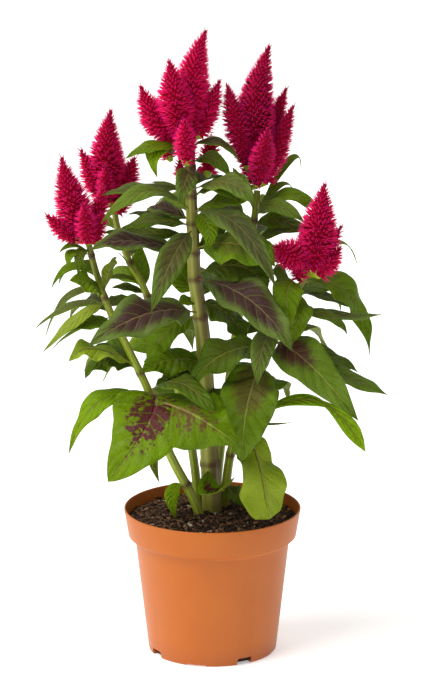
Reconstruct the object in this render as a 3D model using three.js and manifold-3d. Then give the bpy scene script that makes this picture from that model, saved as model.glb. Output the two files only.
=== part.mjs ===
// Potted celosia: a plastic nursery pot full of soil, five leafy stems and their feathery heads.
// Millimetres, +Z up. The origin is the centre of the pot's flat underside, and the front faces -Y.

import * as THREE from "three";
import { mergeVertices } from "three/addons/utils/BufferGeometryUtils.js";
import Module from "manifold-3d";

const wasm = await Module();
wasm.setup();

const gap = 0.3; // clear space between touching pieces

// ---- driving dimensions ----

const pot = {
  height: 100,
  rimRadius: 60,
  collarHeight: 19,
  collarFootRadius: 57.2,
  waistRadius: 52.4,
  footRadius: 43.7,
  wall: 1.2,
  floor: 1.6,
  corner: 0.8, // how far its edges are cut back
};

const drain = {
  firstAngle: 30, // degrees from the front, towards the right
  deep: { width: 10, height: 4, reach: 16 },
  shallow: { width: 14, height: 1.1, reach: 5 },
  corner: 1.5,
  holeRadius: 3, // of the drain hole in a deep channel's roof
  holeInset: 10, // of its centre, from the foot's edge
};

const soil = {
  edgeHeight: 92, // where it meets the pot's wall
  mound: 5, // how much higher it stands at the stems
  lump: 1.1,
  rings: 4,
};

const potSides = 28; // of the pot and of the soil in it
const stemSides = 8;
const stemStep = 20; // length of one straight piece of a stem

const leaf = {
  thickness: 0.7,
  stalkThickness: 1.5,
  stalkWidth: 1.7,
  stalkShare: 0.1, // bare stalk, as a share of the length
  fold: 16, // degrees that each half rises from the midrib
  wave: 0.1, // height of the edge's waves, as a share of the width
  waves: 2.5,
  // What a leaf has where its row gives nothing else: the degrees that its upper face leans to the
  // front, how fast it widens from its stalk, and how fast it narrows to its tip.
  usual: { face: 22, flare: 0.8, taper: 1.15 },
};

// Shares of a leaf's length with a section, by its width. The leaf starts and ends in a point.
const leafSections = [
  { under: 16, stations: [0.1, 0.32, 0.65] },
  { under: 28, stations: [0.1, 0.28, 0.53, 0.78] },
  { under: Infinity, stations: [0.1, 0.24, 0.42, 0.6, 0.8] },
];

const floret = {
  rowStep: 6.4, // height of a row of florets
  spacing: 6.7, // a spike's width for every three points round it
  valley: 0.78, // radius between the florets, as a share of the spike's
  spread: 0.16, // how much further out the furthest floret may stand
  lift: 3.4, // how far a floret's point leans towards the spike's tip
  belly: 0.33, // share of a spike's length where it is widest
  foot: 0.6, // its width at the base, as a share of the widest
};

const head = {
  ballRadius: 5, // where the spikes join
  ballRise: 2.5, // of the ball's centre over the stem's top
};

const shoot = {
  radius: 1.3,
  depth: 0.12, // how far a side shoot runs into its bloom, as a share of the bloom
};

// Each stem: its path from 25 mm down in the soil to the head, its radii at the foot and the top,
// and its leaves. A leaf leaves the stem at a height, arches over one point and ends at its tip.
const stems = {
  main: {
    path: [
      [1, 0, 68], [0, 0, 92], [-2, 0, 133], [-4, 0, 177], [-6, 0, 214], [-9, 0, 240],
      [-12, 1, 262], [-13, 2, 292], [-14, 2, 313], [-15, 2, 352],
    ],
    foot: 7,
    top: 2.6,
    leaves: [
      { at: 330, over: [-17, -26, 334], tip: [-22, -33, 317], wide: 16 },
      { at: 345, over: [-38, -16, 353], tip: [-57, -18, 345], wide: 13, face: 25 },
      { at: 339, over: [-41, -14, 349], tip: [-41, -22, 334], wide: 13 },
      { at: 316, over: [-31, 22, 319], tip: [-41, 30, 319], wide: 6 },
      { at: 320, over: [-48, -18, 327], tip: [-72, -25, 326], wide: 15, face: 18 },
      { at: 304, over: [-43, -28, 325], tip: [-73, -40, 307], wide: 17, face: 20 },
      { at: 297, over: [-33, 8, 306], tip: [-44, 14, 303], wide: 17 },
      { at: 298, over: [-36, 22, 299], tip: [-57, 34, 296], wide: 17 },
      { at: 294, over: [-40, -5, 300], tip: [-63, -8, 293], wide: 17 },
      { at: 279, over: [-54, -30, 296], tip: [-79, -42, 293], wide: 22, face: 30 },
      { at: 288, over: [-48, 10, 288], tip: [-73, 15, 288], wide: 15 },
      { at: 291, over: [-26, -45, 284], tip: [-40, -62, 251], wide: 24 },
      { at: 348, over: [4, 2, 352], tip: [18, -2, 340], wide: 11 },
      { at: 336, over: [-1, -10, 344], tip: [13, -17, 331], wide: 14 },
      { at: 318, over: [11, -34, 332], tip: [28, -46, 319], wide: 19, face: 30 },
      { at: 312, over: [3, -12, 326], tip: [19, -25, 316], wide: 18 },
      { at: 305, over: [9, -8, 315], tip: [28, -12, 317], wide: 17, face: 25 },
      { at: 303, over: [9, 13, 307], tip: [21, 12, 300], wide: 16 },
      { at: 305, over: [17, -38, 304], tip: [42, -58, 267], wide: 21, face: 20 },
      { at: 279, over: [18, -20, 287], tip: [42, -30, 275], wide: 36, face: 45 },
      { at: 261, over: [20, -12, 270], tip: [36, -20, 253], wide: 28, face: 40 },
      { at: 259, over: [25, -40, 255], tip: [53, -60, 226], wide: 36, face: 25 },
      { at: 243, over: [9, -4, 236], tip: [24, -6, 217], wide: 28 },
      { at: 303, over: [-3, -14, 299], tip: [-3, -18, 283], wide: 15 },
      { at: 277, over: [1, 6, 287], tip: [11, 14, 301], wide: 15 },
      { at: 235, over: [-43, -45, 246], tip: [-81, -62, 229], wide: 34, face: 25 },
      { at: 233, over: [-28, -12, 224], tip: [-33, -16, 199], wide: 30 },
      { at: 201, over: [-28, -20, 208], tip: [-47, -32, 203], wide: 28, face: 30 },
      { at: 203, over: [-28, -8, 207], tip: [-46, -12, 205], wide: 22 },
      { at: 189, over: [-22, -18, 194], tip: [-39, -26, 188], wide: 26 },
      { at: 249, over: [-19, 8, 258], tip: [-24, 15, 274], wide: 21 },
      { at: 240, over: [-17, -3, 245], tip: [-22, -6, 242], wide: 12 },
      { at: 181, over: [5, -10, 179], tip: [11, -14, 160], wide: 15 },
      { at: 131, over: [1, -26, 118], tip: [-6, -32, 138], wide: 18 },
      { at: 335, over: [-18, 26, 342], tip: [-22, 46, 326], wide: 12 },
      { at: 318, over: [-2, 28, 326], tip: [4, 50, 308], wide: 14 },
      { at: 300, over: [-28, 34, 308], tip: [-38, 62, 288], wide: 16 },
      { at: 284, over: [0, 34, 292], tip: [0, 60, 270], wide: 18 },
      { at: 262, over: [-24, 42, 272], tip: [-28, 72, 246], wide: 22 },
      { at: 240, over: [2, 44, 250], tip: [4, 76, 220], wide: 24 },
      { at: 214, over: [-13, 44, 222], tip: [-14, 76, 190], wide: 24 },
      { at: 190, over: [-8, 42, 198], tip: [-10, 70, 166], wide: 26 },
    ],
  },
  left: {
    path: [
      [-6, -9, 68], [-9, -10, 98], [-30, -12, 144], [-42, -13, 183], [-54, -14, 210],
      [-68, -14, 240], [-77, -15, 267], [-82, -15, 287],
    ],
    foot: 3.4,
    top: 2,
    leaves: [
      { at: 280, over: [-92, -24, 288], tip: [-101, -30, 284], wide: 5 },
      { at: 279, over: [-93, -26, 283], tip: [-94, -28, 272], wide: 8 },
      { at: 281, over: [-87, -26, 283], tip: [-88, -32, 268], wide: 8 },
      { at: 265, over: [-94, -14, 271], tip: [-107, -18, 257], wide: 6 },
      { at: 267, over: [-83, -6, 272], tip: [-87, -6, 271], wide: 5 },
      { at: 252, over: [-68, -26, 272], tip: [-63, -28, 281], wide: 14 },
      { at: 250, over: [-82, -28, 263], tip: [-94, -36, 267], wide: 20, face: 35 },
      { at: 255, over: [-97, -2, 247], tip: [-112, 0, 220], wide: 6 },
      { at: 245, over: [-94, -10, 243], tip: [-118, -14, 229], wide: 10 },
      { at: 245, over: [-89, -26, 239], tip: [-112, -36, 218], wide: 16 },
      { at: 231, over: [-80, -22, 235], tip: [-94, -30, 231], wide: 14, face: 35 },
      { at: 243, over: [-63, 6, 243], tip: [-57, 14, 244], wide: 12 },
      { at: 200, over: [-78, -26, 218], tip: [-95, -34, 211], wide: 24, face: 20 },
      { at: 198, over: [-70, -14, 208], tip: [-85, -18, 195], wide: 26, face: 25 },
      { at: 177, over: [-72, -24, 183], tip: [-93, -30, 147], wide: 19, face: 25 },
      { at: 174, over: [-6, -64, 184], tip: [20, -72, 161], wide: 40, face: 30, taper: 0.9 },
      { at: 182, over: [-43, -46, 174], tip: [-68, -64, 138], wide: 60, face: 12, taper: 0.75 },
      { at: 157, over: [-41, 4, 140], tip: [-36, 8, 114], wide: 10 },
      { at: 119, over: [-27, -14, 113], tip: [-23, -18, 98], wide: 9 },
      { at: 236, over: [-92, -6, 225], tip: [-107, -8, 213], wide: 5 },
      { at: 262, over: [-92, 6, 268], tip: [-104, 22, 250], wide: 12 },
      { at: 235, over: [-82, 12, 242], tip: [-98, 34, 222], wide: 16 },
      { at: 205, over: [-70, 12, 210], tip: [-88, 34, 186], wide: 18 },
      { at: 160, over: [-50, 14, 164], tip: [-66, 32, 138], wide: 18 },
    ],
  },
  backLeft: {
    path: [
      [-10, 11, 68], [-10, 11, 101], [-15, 14, 143], [-25, 18, 184], [-35, 20, 212],
      [-46, 22, 247], [-57, 23, 268], [-64, 24, 290], [-66, 24, 302],
    ],
    foot: 3.2,
    top: 2,
    leaves: [
      { at: 245, over: [-42, 29, 259], tip: [-39, 27, 276], wide: 14 },
      { at: 242, over: [-57, 22, 248], tip: [-68, 20, 248], wide: 10 },
      { at: 251, over: [-61, 20, 256], tip: [-73, 16, 255], wide: 6 },
      { at: 255, over: [-57, 16, 267], tip: [-63, 14, 274], wide: 4 },
      { at: 285, over: [-78, 44, 290], tip: [-90, 58, 272], wide: 12 },
      { at: 265, over: [-54, 50, 272], tip: [-54, 76, 250], wide: 16 },
      { at: 245, over: [-66, 46, 252], tip: [-86, 62, 228], wide: 18 },
      { at: 220, over: [-46, 52, 230], tip: [-52, 82, 200], wide: 22 },
      { at: 196, over: [-52, 44, 202], tip: [-76, 58, 172], wide: 22 },
      { at: 165, over: [-32, 46, 172], tip: [-38, 66, 138], wide: 24 },
    ],
  },
  right: {
    path: [
      [7, 9, 68], [8, 9, 98], [13, 3, 140], [25, -3, 176], [39, -7, 212], [52, -11, 247],
      [62, -12, 263],
    ],
    foot: 3.4,
    top: 2,
    leaves: [
      { at: 254, over: [56, -30, 244], tip: [53, -36, 223], wide: 22 },
      { at: 257, over: [50, -28, 258], tip: [52, -36, 231], wide: 22 },
      { at: 245, over: [84, -10, 242], tip: [113, -12, 239], wide: 14, face: 30 },
      { at: 253, over: [78, 10, 244], tip: [101, 14, 234], wide: 11 },
      { at: 239, over: [76, -20, 239], tip: [90, -24, 227], wide: 11 },
      { at: 259, over: [90, 2, 252], tip: [107, -6, 208], wide: 30, face: 30 },
      { at: 252, over: [82, 24, 278], tip: [98, 28, 263], wide: 7 },
      { at: 230, over: [34, -36, 223], tip: [30, -46, 197], wide: 17 },
      { at: 222, over: [76, -5, 211], tip: [97, -5, 200], wide: 24, face: 30 },
      { at: 215, over: [85, -14, 200], tip: [117, -18, 186], wide: 24, face: 25 },
      { at: 217, over: [66, -38, 210], tip: [93, -48, 172], wide: 38, face: 35 },
      { at: 212, over: [9, -32, 216], tip: [-15, -44, 196], wide: 30, face: 30 },
      { at: 203, over: [24, -42, 187], tip: [20, -50, 147], wide: 42, taper: 0.8 },
      { at: 179, over: [15, 4, 182], tip: [7, 0, 186], wide: 16 },
      { at: 161, over: [34, 12, 155], tip: [54, 16, 155], wide: 5 },
      { at: 136, over: [59, 5, 172], tip: [106, 5, 137], wide: 16 },
      { at: 158, over: [30, -34, 146], tip: [38, -42, 104], wide: 42, face: 170, taper: 0.55, flare: 1.4 },
      { at: 122, over: [20, 9, 114], tip: [27, 5, 98], wide: 17 },
      { at: 245, over: [74, 22, 250], tip: [88, 44, 226], wide: 18 },
      { at: 215, over: [62, 24, 222], tip: [80, 46, 192], wide: 20 },
      { at: 172, over: [44, 26, 178], tip: [58, 48, 148], wide: 22 },
    ],
  },
  backRight: {
    path: [
      [1, 15, 68], [2, 15, 100], [7, 15, 150], [15, 16, 213], [20, 16, 241], [24, 16, 268],
      [28, 16, 295], [30, 16, 316],
    ],
    foot: 3.2,
    top: 2.2,
    leaves: [
      { at: 300, over: [54, 0, 318], tip: [73, 2, 301], wide: 14, face: 30 },
      { at: 306, over: [51, 16, 312], tip: [67, 20, 299], wide: 11 },
      { at: 297, over: [42, -8, 311], tip: [60, -16, 303], wide: 19, face: 40 },
      { at: 292, over: [45, 14, 294], tip: [67, 22, 284], wide: 19, face: 40 },
      { at: 298, over: [52, 34, 333], tip: [60, 42, 326], wide: 6 },
      { at: 300, over: [45, 24, 318], tip: [54, 30, 314], wide: 7 },
      { at: 300, over: [18, -11, 333], tip: [22, -19, 325], wide: 12 },
      { at: 296, over: [40, 44, 304], tip: [46, 62, 284], wide: 14 },
      { at: 278, over: [30, 48, 286], tip: [30, 74, 260], wide: 18 },
      { at: 258, over: [48, 40, 266], tip: [68, 54, 240], wide: 20 },
      { at: 235, over: [26, 50, 244], tip: [28, 80, 210], wide: 24 },
      { at: 210, over: [44, 44, 218], tip: [60, 66, 186], wide: 24 },
      { at: 180, over: [18, 48, 188], tip: [20, 78, 152], wide: 26 },
    ],
  },
};

// Each head: the spikes that branch from the top of one stem. A spike has a base, a tip and a width.
const heads = {
  left: [
    { base: [-85, -16, 292], over: [-95, -17, 317], tip: [-99, -18, 346], wide: 23 },
    { base: [-90, -18, 290], tip: [-108, -24, 308], wide: 13 },
    { base: [-80, -10, 290], tip: [-72, -4, 323], wide: 15 },
    { base: [-82, -24, 290], tip: [-84, -34, 317], wide: 15 },
    { base: [-79, -18, 288], tip: [-73, -24, 309], wide: 12 },
    { base: [-84, -6, 290], tip: [-88, 8, 311], wide: 14 },
  ],
  backLeft: [
    { base: [-67, 24, 304], over: [-69, 22, 338], tip: [-67, 20, 370], wide: 25 },
    { base: [-71, 22, 306], tip: [-88, 20, 343], wide: 18 },
    { base: [-63, 26, 307], tip: [-52, 30, 336], wide: 18 },
    { base: [-71, 14, 308], tip: [-71, 6, 335], wide: 13 },
    { base: [-63, 19, 300], tip: [-56, 13, 314], wide: 10 },
    { base: [-66, 32, 304], tip: [-62, 46, 337], wide: 15 },
  ],
  main: [
    { base: [-13, 4, 355], over: [-12, 3, 392], tip: [-4, 2, 427], wide: 24 },
    { base: [-20, -4, 358], tip: [-27, -11, 409], wide: 22 },
    { base: [-24, 0, 355], over: [-38, -2, 370], tip: [-47, -4, 391], wide: 22 },
    { base: [-9, 3, 356], tip: [5, 4, 393], wide: 17 },
    { base: [-15, 12, 357], tip: [-18, 34, 388], wide: 17 },
  ],
  backRight: [
    { base: [30, 15, 322], over: [30, 13, 372], tip: [38, 12, 415], wide: 26 },
    { base: [24, 10, 335], over: [16, 6, 365], tip: [10, 4, 390], wide: 19 },
    { base: [35, 20, 344], tip: [51, 26, 384], wide: 13 },
    { base: [35, 14, 322], tip: [55, 16, 374], wide: 18 },
    { base: [30, 3, 324], tip: [37, -12, 363], wide: 17 },
    { base: [23, 10, 318], tip: [16, 4, 328], wide: 9 },
    { base: [31, 24, 330], tip: [29, 46, 372], wide: 17 },
  ],
  right: [
    { base: [67, -14, 268], tip: [74, -18, 328], wide: 26 },
    { base: [60, -17, 268], over: [53, -24, 285], tip: [43, -30, 280], wide: 18 },
    { base: [58, -14, 262], tip: [56, -20, 277], wide: 10 },
    { base: [74, -9, 276], tip: [86, -6, 297], wide: 9 },
    { base: [70, -18, 266], tip: [85, -16, 284], wide: 17 },
    { base: [66, -5, 266], tip: [63, 12, 293], wide: 16 },
  ],
};

// Small blooms on side shoots of the main stem. Each shoot leaves the stem at a height.
const sideBlooms = {
  front: { at: 334, base: [-17, -17, 343], tip: [-18, -25, 372], wide: 16 },
  lowLeft: { at: 328, base: [-28, 10, 339], tip: [-35, 14, 352], wide: 12 },
  lowRight: { at: 318, base: [-3, 11, 329], tip: [0, 15, 353], wide: 15 },
  lowest: { at: 316, base: [-22, 15, 325], tip: [-21, 15, 338], wide: 8 },
};

// ---- shared helpers ----

const up = new THREE.Vector3(0, 0, 1);
const rad = THREE.MathUtils.degToRad;
const vec = (p) => new THREE.Vector3(...p);

function toSolid(geometry) {
  const bare = geometry.clone();
  bare.deleteAttribute("normal");
  bare.deleteAttribute("uv");
  const merged = mergeVertices(bare, 1e-3);
  const corners = [];
  for (let i = 0; i < merged.index.count; i += 3) {
    const [a, b, c] = merged.index.array.slice(i, i + 3);
    if (a !== b && b !== c && c !== a) {
      corners.push(a, b, c);
    }
  }
  const vertProperties = new Float32Array(merged.attributes.position.array);
  const triVerts = new Uint32Array(corners);
  return new wasm.Manifold(new wasm.Mesh({ numProp: 3, vertProperties, triVerts }));
}

function toGeometry(solid) {
  const mesh = solid.getMesh();
  const geometry = new THREE.BufferGeometry();
  geometry.setAttribute("position", new THREE.BufferAttribute(mesh.vertProperties, 3));
  geometry.setIndex(new THREE.BufferAttribute(mesh.triVerts, 1));
  return geometry;
}

function fuse(solids) {
  return solids.reduce((whole, next) => whole.add(next));
}

// The largest body of a solid, without the hollows that fusing sealed and the scraps it cut loose.
function mainBody(solid) {
  const bodies = solid.decompose();
  return bodies.sort((a, b) => b.volume() - a.volume())[0];
}

// A closed skin over rings of points that run from a root point to a tip point, each ring
// counterclockwise as seen from the tip. A flipped column has its quads split the other way.
function ringSkin(root, rings, tip, isFlipped) {
  const count = rings[0].length;
  const points = [...rings.flat(), root, tip];
  const index = [];
  for (let j = 0; j + 1 < rings.length; j += 1) {
    for (let i = 0; i < count; i += 1) {
      const a = j * count + i;
      const b = j * count + ((i + 1) % count);
      if (isFlipped(i)) {
        index.push(a, b, a + count, b, b + count, a + count);
      } else {
        index.push(a, b, b + count, a, b + count, a + count);
      }
    }
  }
  const last = (rings.length - 1) * count;
  const rootPoint = points.length - 2;
  const tipPoint = points.length - 1;
  for (let i = 0; i < count; i += 1) {
    const next = (i + 1) % count;
    index.push(next, i, rootPoint);
    index.push(last + i, last + next, tipPoint);
  }
  const geometry = new THREE.BufferGeometry().setFromPoints(points);
  geometry.setIndex(index);
  return toSolid(geometry);
}

// A round stalk along a curve, tapering from its foot radius to its top radius.
function stalkSolid(curve, steps, footRadius, topRadius, sides) {
  const corners = [];
  for (let i = 0; i < sides; i += 1) {
    const angle = (2 * Math.PI * i) / sides;
    corners.push(new THREE.Vector2(Math.cos(angle), Math.sin(angle)));
  }
  const section = new THREE.Shape(corners);
  const geometry = new THREE.ExtrudeGeometry(section, { steps, extrudePath: curve });
  const centres = curve.getSpacedPoints(steps);
  const position = geometry.attributes.position;
  for (let i = 0; i < position.count; i += 1) {
    const point = new THREE.Vector3().fromBufferAttribute(position, i);
    const distances = centres.map((centre) => centre.distanceTo(point));
    const nearest = distances.indexOf(Math.min(...distances));
    const radius = THREE.MathUtils.lerp(footRadius, topRadius, nearest / steps);
    point.sub(centres[nearest]).multiplyScalar(radius).add(centres[nearest]);
    position.setXYZ(i, point.x, point.y, point.z);
  }
  return toSolid(geometry);
}

// A curve from start to end that passes over a middle point.
function archOver(start, middle, end) {
  const control = middle.clone().multiplyScalar(2);
  control.addScaledVector(start, -0.5).addScaledVector(end, -0.5);
  return new THREE.QuadraticBezierCurve3(start, control, end);
}

// ---- leafy stems ----

function stemCurve(stem, extra = 0) {
  const points = stem.path.map(vec);
  points.at(-1).z += extra;
  return new THREE.CatmullRomCurve3(points);
}

function stemAt(stem, height) {
  const points = stemCurve(stem).getPoints(200);
  return points.find((point) => point.z >= height) ?? points.at(-1);
}

function stemTube(stem, clearance = 0) {
  const curve = stemCurve(stem, clearance);
  const steps = Math.round(curve.getLength() / stemStep);
  return stalkSolid(curve, steps, stem.foot + clearance, stem.top + clearance, stemSides);
}

// Half the blade's width at a share of its length: ovate, drawn out to a point by the taper.
function bladeHalfWidth(share, wide, flare, taper) {
  if (share <= leaf.stalkShare) {
    return leaf.stalkWidth / 2;
  }
  const s = (share - leaf.stalkShare) / (1 - leaf.stalkShare);
  const widest = flare / (flare + taper);
  const full = widest ** flare * (1 - widest) ** taper;
  const outline = (s ** flare * (1 - s) ** taper) / full;
  return Math.max(leaf.stalkWidth / 2, (outline * wide) / 2);
}

function leafSolid(stem, row) {
  const { at, over, tip, wide, face, flare, taper } = { ...leaf.usual, ...row };
  const root = stemAt(stem, at);
  const midrib = archOver(root, vec(over), vec(tip));
  const outward = vec(tip).sub(root).setZ(0).normalize();
  const across = new THREE.Vector3().crossVectors(up, outward);
  const turn = rad(face) * Math.sign(outward.x);
  const fold = rad(leaf.fold);
  const { stations } = leafSections.find(({ under }) => wide < under);
  const rings = stations.map((share) => {
    const centre = midrib.getPoint(share);
    const along = midrib.getTangent(share);
    const side = across.clone().addScaledVector(along, -across.dot(along)).normalize();
    side.applyAxisAngle(along, turn);
    const normal = new THREE.Vector3().crossVectors(along, side);
    const half = bladeHalfWidth(share, wide, flare, taper);
    const isStalk = share <= leaf.stalkShare;
    const thickness = isStalk ? leaf.stalkThickness : leaf.thickness;
    const at3 = (u, v) => {
      const wave = isStalk ? 0 : leaf.wave * wide * Math.sin(2 * Math.PI * leaf.waves * share + u);
      const rise = Math.abs(u) * (half * Math.sin(fold) + wave) + (v * thickness) / 2;
      const point = centre.clone().addScaledVector(side, u * half * Math.cos(fold));
      return point.addScaledVector(normal, rise);
    };
    return [at3(1, -1), at3(1, 1), at3(0, 1), at3(-1, 1), at3(-1, -1), at3(0, -1)];
  });
  const lowerFace = (column) => column >= 4;
  return ringSkin(root, rings, vec(tip), lowerFace);
}

// ---- feathery spikes ----

// A flame's outline: it swells up to its belly, then closes to the tip.
function spikeRadius(share, wide) {
  const past = Math.max(0, share - floret.belly) / (1 - floret.belly);
  const swell = Math.min(1, floret.foot + ((1 - floret.foot) * share) / floret.belly);
  return (wide / 2) * swell * (1 - past ** 1.6);
}

// Points round an axis, each at its own reach from it and lifted along it.
function floretRing(centre, along, count, reach, lift, shift) {
  const side = new THREE.Vector3(0, 1, 0).cross(along).normalize();
  const front = new THREE.Vector3().crossVectors(along, side);
  const ring = [];
  for (let i = 0; i < count; i += 1) {
    const angle = (2 * Math.PI * (i + shift)) / count;
    const radius = reach(i);
    const point = centre.clone().addScaledVector(side, radius * Math.cos(angle));
    point.addScaledVector(front, radius * Math.sin(angle));
    ring.push(point.addScaledVector(along, lift(i)));
  }
  return ring;
}

// A spike of florets, grown from a joint: a lattice of points round an axis, of which every third
// is drawn out to a floret's tip.
function spikeSolid({ base, over, tip, wide }, random, joint) {
  const foot = vec(base);
  const end = vec(tip);
  const middle = over ? vec(over) : foot.clone().lerp(end, 0.5);
  const axis = archOver(foot, middle, end);
  const rows = Math.max(4, Math.round(axis.getLength() / floret.rowStep));
  const count = 3 * THREE.MathUtils.clamp(Math.round(wide / floret.spacing), 2, 4);
  const rings = [];
  for (let j = 0; j < rows; j += 1) {
    const share = j / rows;
    const isTip = (i) => (((i - j) % 3) + 3) % 3 === 0 && j > 0;
    const radius = spikeRadius(share, wide);
    const reach = (i) => radius * (isTip(i) ? 1 + floret.spread * random() : floret.valley);
    const lift = (i) => (isTip(i) ? floret.lift : 0);
    rings.push(floretRing(axis.getPoint(share), axis.getTangent(share), count, reach, lift, j / 2));
  }
  return ringSkin(joint, rings, end, () => true);
}

// A repeatable draw between 0 and 1.
function seededRandom(seed) {
  let state = seed;
  return () => {
    state = (state * 1664525 + 1013904223) % 4294967296;
    return state / 4294967296;
  };
}

// All spikes of one head, grown from one joint in a ball that sits on the stem's top.
function headSolid(stem, spikes, seed) {
  const random = seededRandom(seed);
  const joint = vec(stem.path.at(-1)).add(new THREE.Vector3(0, 0, head.ballRise));
  const ball = new THREE.IcosahedronGeometry(head.ballRadius).translate(...joint);
  const solids = spikes.map((spike) => spikeSolid(spike, random, joint));
  return fuse([toSolid(ball), ...solids]).subtract(stemTube(stem, gap));
}

function shootTube(stem, bloom, clearance = 0) {
  const base = vec(bloom.base);
  const end = base.clone().lerp(vec(bloom.tip), shoot.depth);
  end.addScaledVector(end.clone().sub(base).normalize(), clearance);
  const curve = new THREE.QuadraticBezierCurve3(stemAt(stem, bloom.at), base, end);
  return stalkSolid(curve, 4, shoot.radius + clearance, shoot.radius + clearance, 5);
}

// ---- pot and soil ----

// Radii and heights up the pot's outside and inside. The step between body and collar is the shelf.
const shelfHeight = pot.height - pot.collarHeight;
const outerWall = [
  [pot.footRadius - pot.corner, 0],
  [pot.footRadius, pot.corner],
  [pot.waistRadius, shelfHeight - 2 * pot.wall],
  [pot.waistRadius + pot.wall, shelfHeight - pot.corner],
  [pot.collarFootRadius, shelfHeight],
  [pot.rimRadius, pot.height - pot.corner],
  [pot.rimRadius - pot.corner / 2, pot.height],
];
const innerWall = [
  [pot.footRadius - pot.wall, pot.floor],
  [pot.waistRadius - pot.wall, shelfHeight - pot.wall],
  [pot.waistRadius + pot.corner, shelfHeight + pot.corner],
  [pot.collarFootRadius - pot.wall, shelfHeight + pot.floor],
  [pot.rimRadius - pot.wall, pot.height + pot.wall],
];

function turned(profile) {
  const points = profile.map(([radius, height]) => new THREE.Vector2(radius, height));
  return new THREE.LatheGeometry(points, potSides).rotateX(Math.PI / 2);
}

// The soil's radius where its surface meets the collar's wall.
const [collarFoot, collarTop] = innerWall.slice(-2);
const soilShare = (soil.edgeHeight - collarFoot[1]) / (collarTop[1] - collarFoot[1]);
const soilRadius = THREE.MathUtils.lerp(collarFoot[0], collarTop[0], soilShare) - gap;

// A channel under the pot, from past the foot's edge towards the middle. It can be made larger all
// round, by the extra, for the wall that roofs it.
function channelSolid({ width, height, reach }, angle, extra = 0) {
  const half = width / 2 + extra;
  const top = height + extra;
  const outline = [
    [-half, -1],
    [half, -1],
    [half, top - 1],
    [half - drain.corner, top],
    [drain.corner - half, top],
    [-half, top - 1],
  ];
  const section = new THREE.Shape(outline.map(([x, y]) => new THREE.Vector2(x, y)));
  const past = 4; // beyond the foot's edge
  const depth = reach + extra + past;
  const geometry = new THREE.ExtrudeGeometry(section, { depth, bevelEnabled: false });
  geometry.rotateX(Math.PI / 2);
  geometry.translate(0, reach + extra - pot.footRadius, 0);
  geometry.rotateZ(rad(angle));
  return toSolid(geometry);
}

function channelAngles(offset) {
  return [0, 90, 180, 270].map((turn) => drain.firstAngle + offset + turn);
}

function deepChannels(extra) {
  return fuse(channelAngles(0).map((angle) => channelSolid(drain.deep, angle, extra)));
}

function shallowChannels() {
  return fuse(channelAngles(45).map((angle) => channelSolid(drain.shallow, angle)));
}

function drainHoles() {
  const holes = channelAngles(0).map((angle) => {
    const bore = new THREE.CylinderGeometry(drain.holeRadius, drain.holeRadius, 8, 12);
    bore.rotateX(Math.PI / 2);
    bore.translate(0, drain.holeInset - pot.footRadius, drain.deep.height);
    bore.rotateZ(rad(angle));
    return toSolid(bore);
  });
  return fuse(holes);
}

function potSolid() {
  const outside = toSolid(turned([[0, 0], ...outerWall, [0, pot.height]]));
  const inside = toSolid(turned([[0, pot.floor], ...innerWall, [0, pot.height + pot.wall]]));
  const roofs = deepChannels(pot.wall).intersect(outside);
  const shell = outside.subtract(inside).add(roofs);
  return shell.subtract(deepChannels(0)).subtract(shallowChannels()).subtract(drainHoles());
}

// How far the soil stands over its edge: a mound with lumps 12 to 24 mm long.
function soilRise(x, y) {
  const share = Math.min(1, Math.hypot(x, y) / soilRadius);
  const wide = Math.sin(x / 3.2 + 1) * Math.cos(y / 3.7);
  const slanted = Math.sin((x - y) / 2.1);
  return (soil.mound + soil.lump * (wide + 0.7 * slanted)) * (1 - share ** 2);
}

function soilSolid() {
  const sides = innerWall.slice(0, -1).map(([radius, height]) => [radius - gap, height + gap]);
  const top = [];
  for (let ring = 0; ring <= soil.rings; ring += 1) {
    top.push([soilRadius * (1 - ring / soil.rings), soil.edgeHeight]);
  }
  const geometry = turned([[0, pot.floor + gap], ...sides, ...top]);
  const position = geometry.attributes.position;
  for (let i = 0; i < position.count; i += 1) {
    if (position.getZ(i) > soil.edgeHeight - gap) {
      const rise = soilRise(position.getX(i), position.getY(i));
      position.setZ(i, soil.edgeHeight + rise);
    }
  }
  const holes = fuse(Object.values(stems).map((stem) => stemTube(stem, gap)));
  return toSolid(geometry).subtract(deepChannels(pot.wall + gap)).subtract(holes);
}

// ---- the plant in its pot ----

const plant = new THREE.Group();

function addPiece(name, solid, color, roughness) {
  const material = new THREE.MeshStandardMaterial({ color, roughness, metalness: 0 });
  const mesh = new THREE.Mesh(toGeometry(mainBody(solid)), material);
  mesh.name = name;
  plant.add(mesh);
}

addPiece("pot", potSolid(), 0xd9753a, 0.5);
addPiece("soil", soilSolid(), 0x3a281e, 0.95);

Object.entries(stems).forEach(([side, stem], number) => {
  const blooms = side === "main" ? Object.values(sideBlooms) : [];
  const leaves = stem.leaves.map((row) => leafSolid(stem, row));
  const shoots = blooms.map((bloom) => shootTube(stem, bloom));
  const leafy = fuse([stemTube(stem), ...shoots, ...leaves]);
  addPiece(`${side}_stem`, leafy, 0x4f7a35, 0.6);
  addPiece(`${side}_head`, headSolid(stem, heads[side], number + 1), 0xb3004b, 0.7);
});

Object.entries(sideBlooms).forEach(([place, bloom], number) => {
  const foot = vec(bloom.base).lerp(vec(bloom.tip), -shoot.depth);
  const spike = spikeSolid(bloom, seededRandom(number + 11), foot);
  const solid = spike.subtract(shootTube(stems.main, bloom, gap));
  addPiece(`${place}_bloom`, solid, 0xb3004b, 0.7);
});

export default plant;
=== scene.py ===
import random
from functools import partial
from math import atan2, copysign, cos, exp, hypot, pi, radians, sin, sqrt

import bmesh
import bpy
from mathutils import Matrix, Vector, noise


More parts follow.
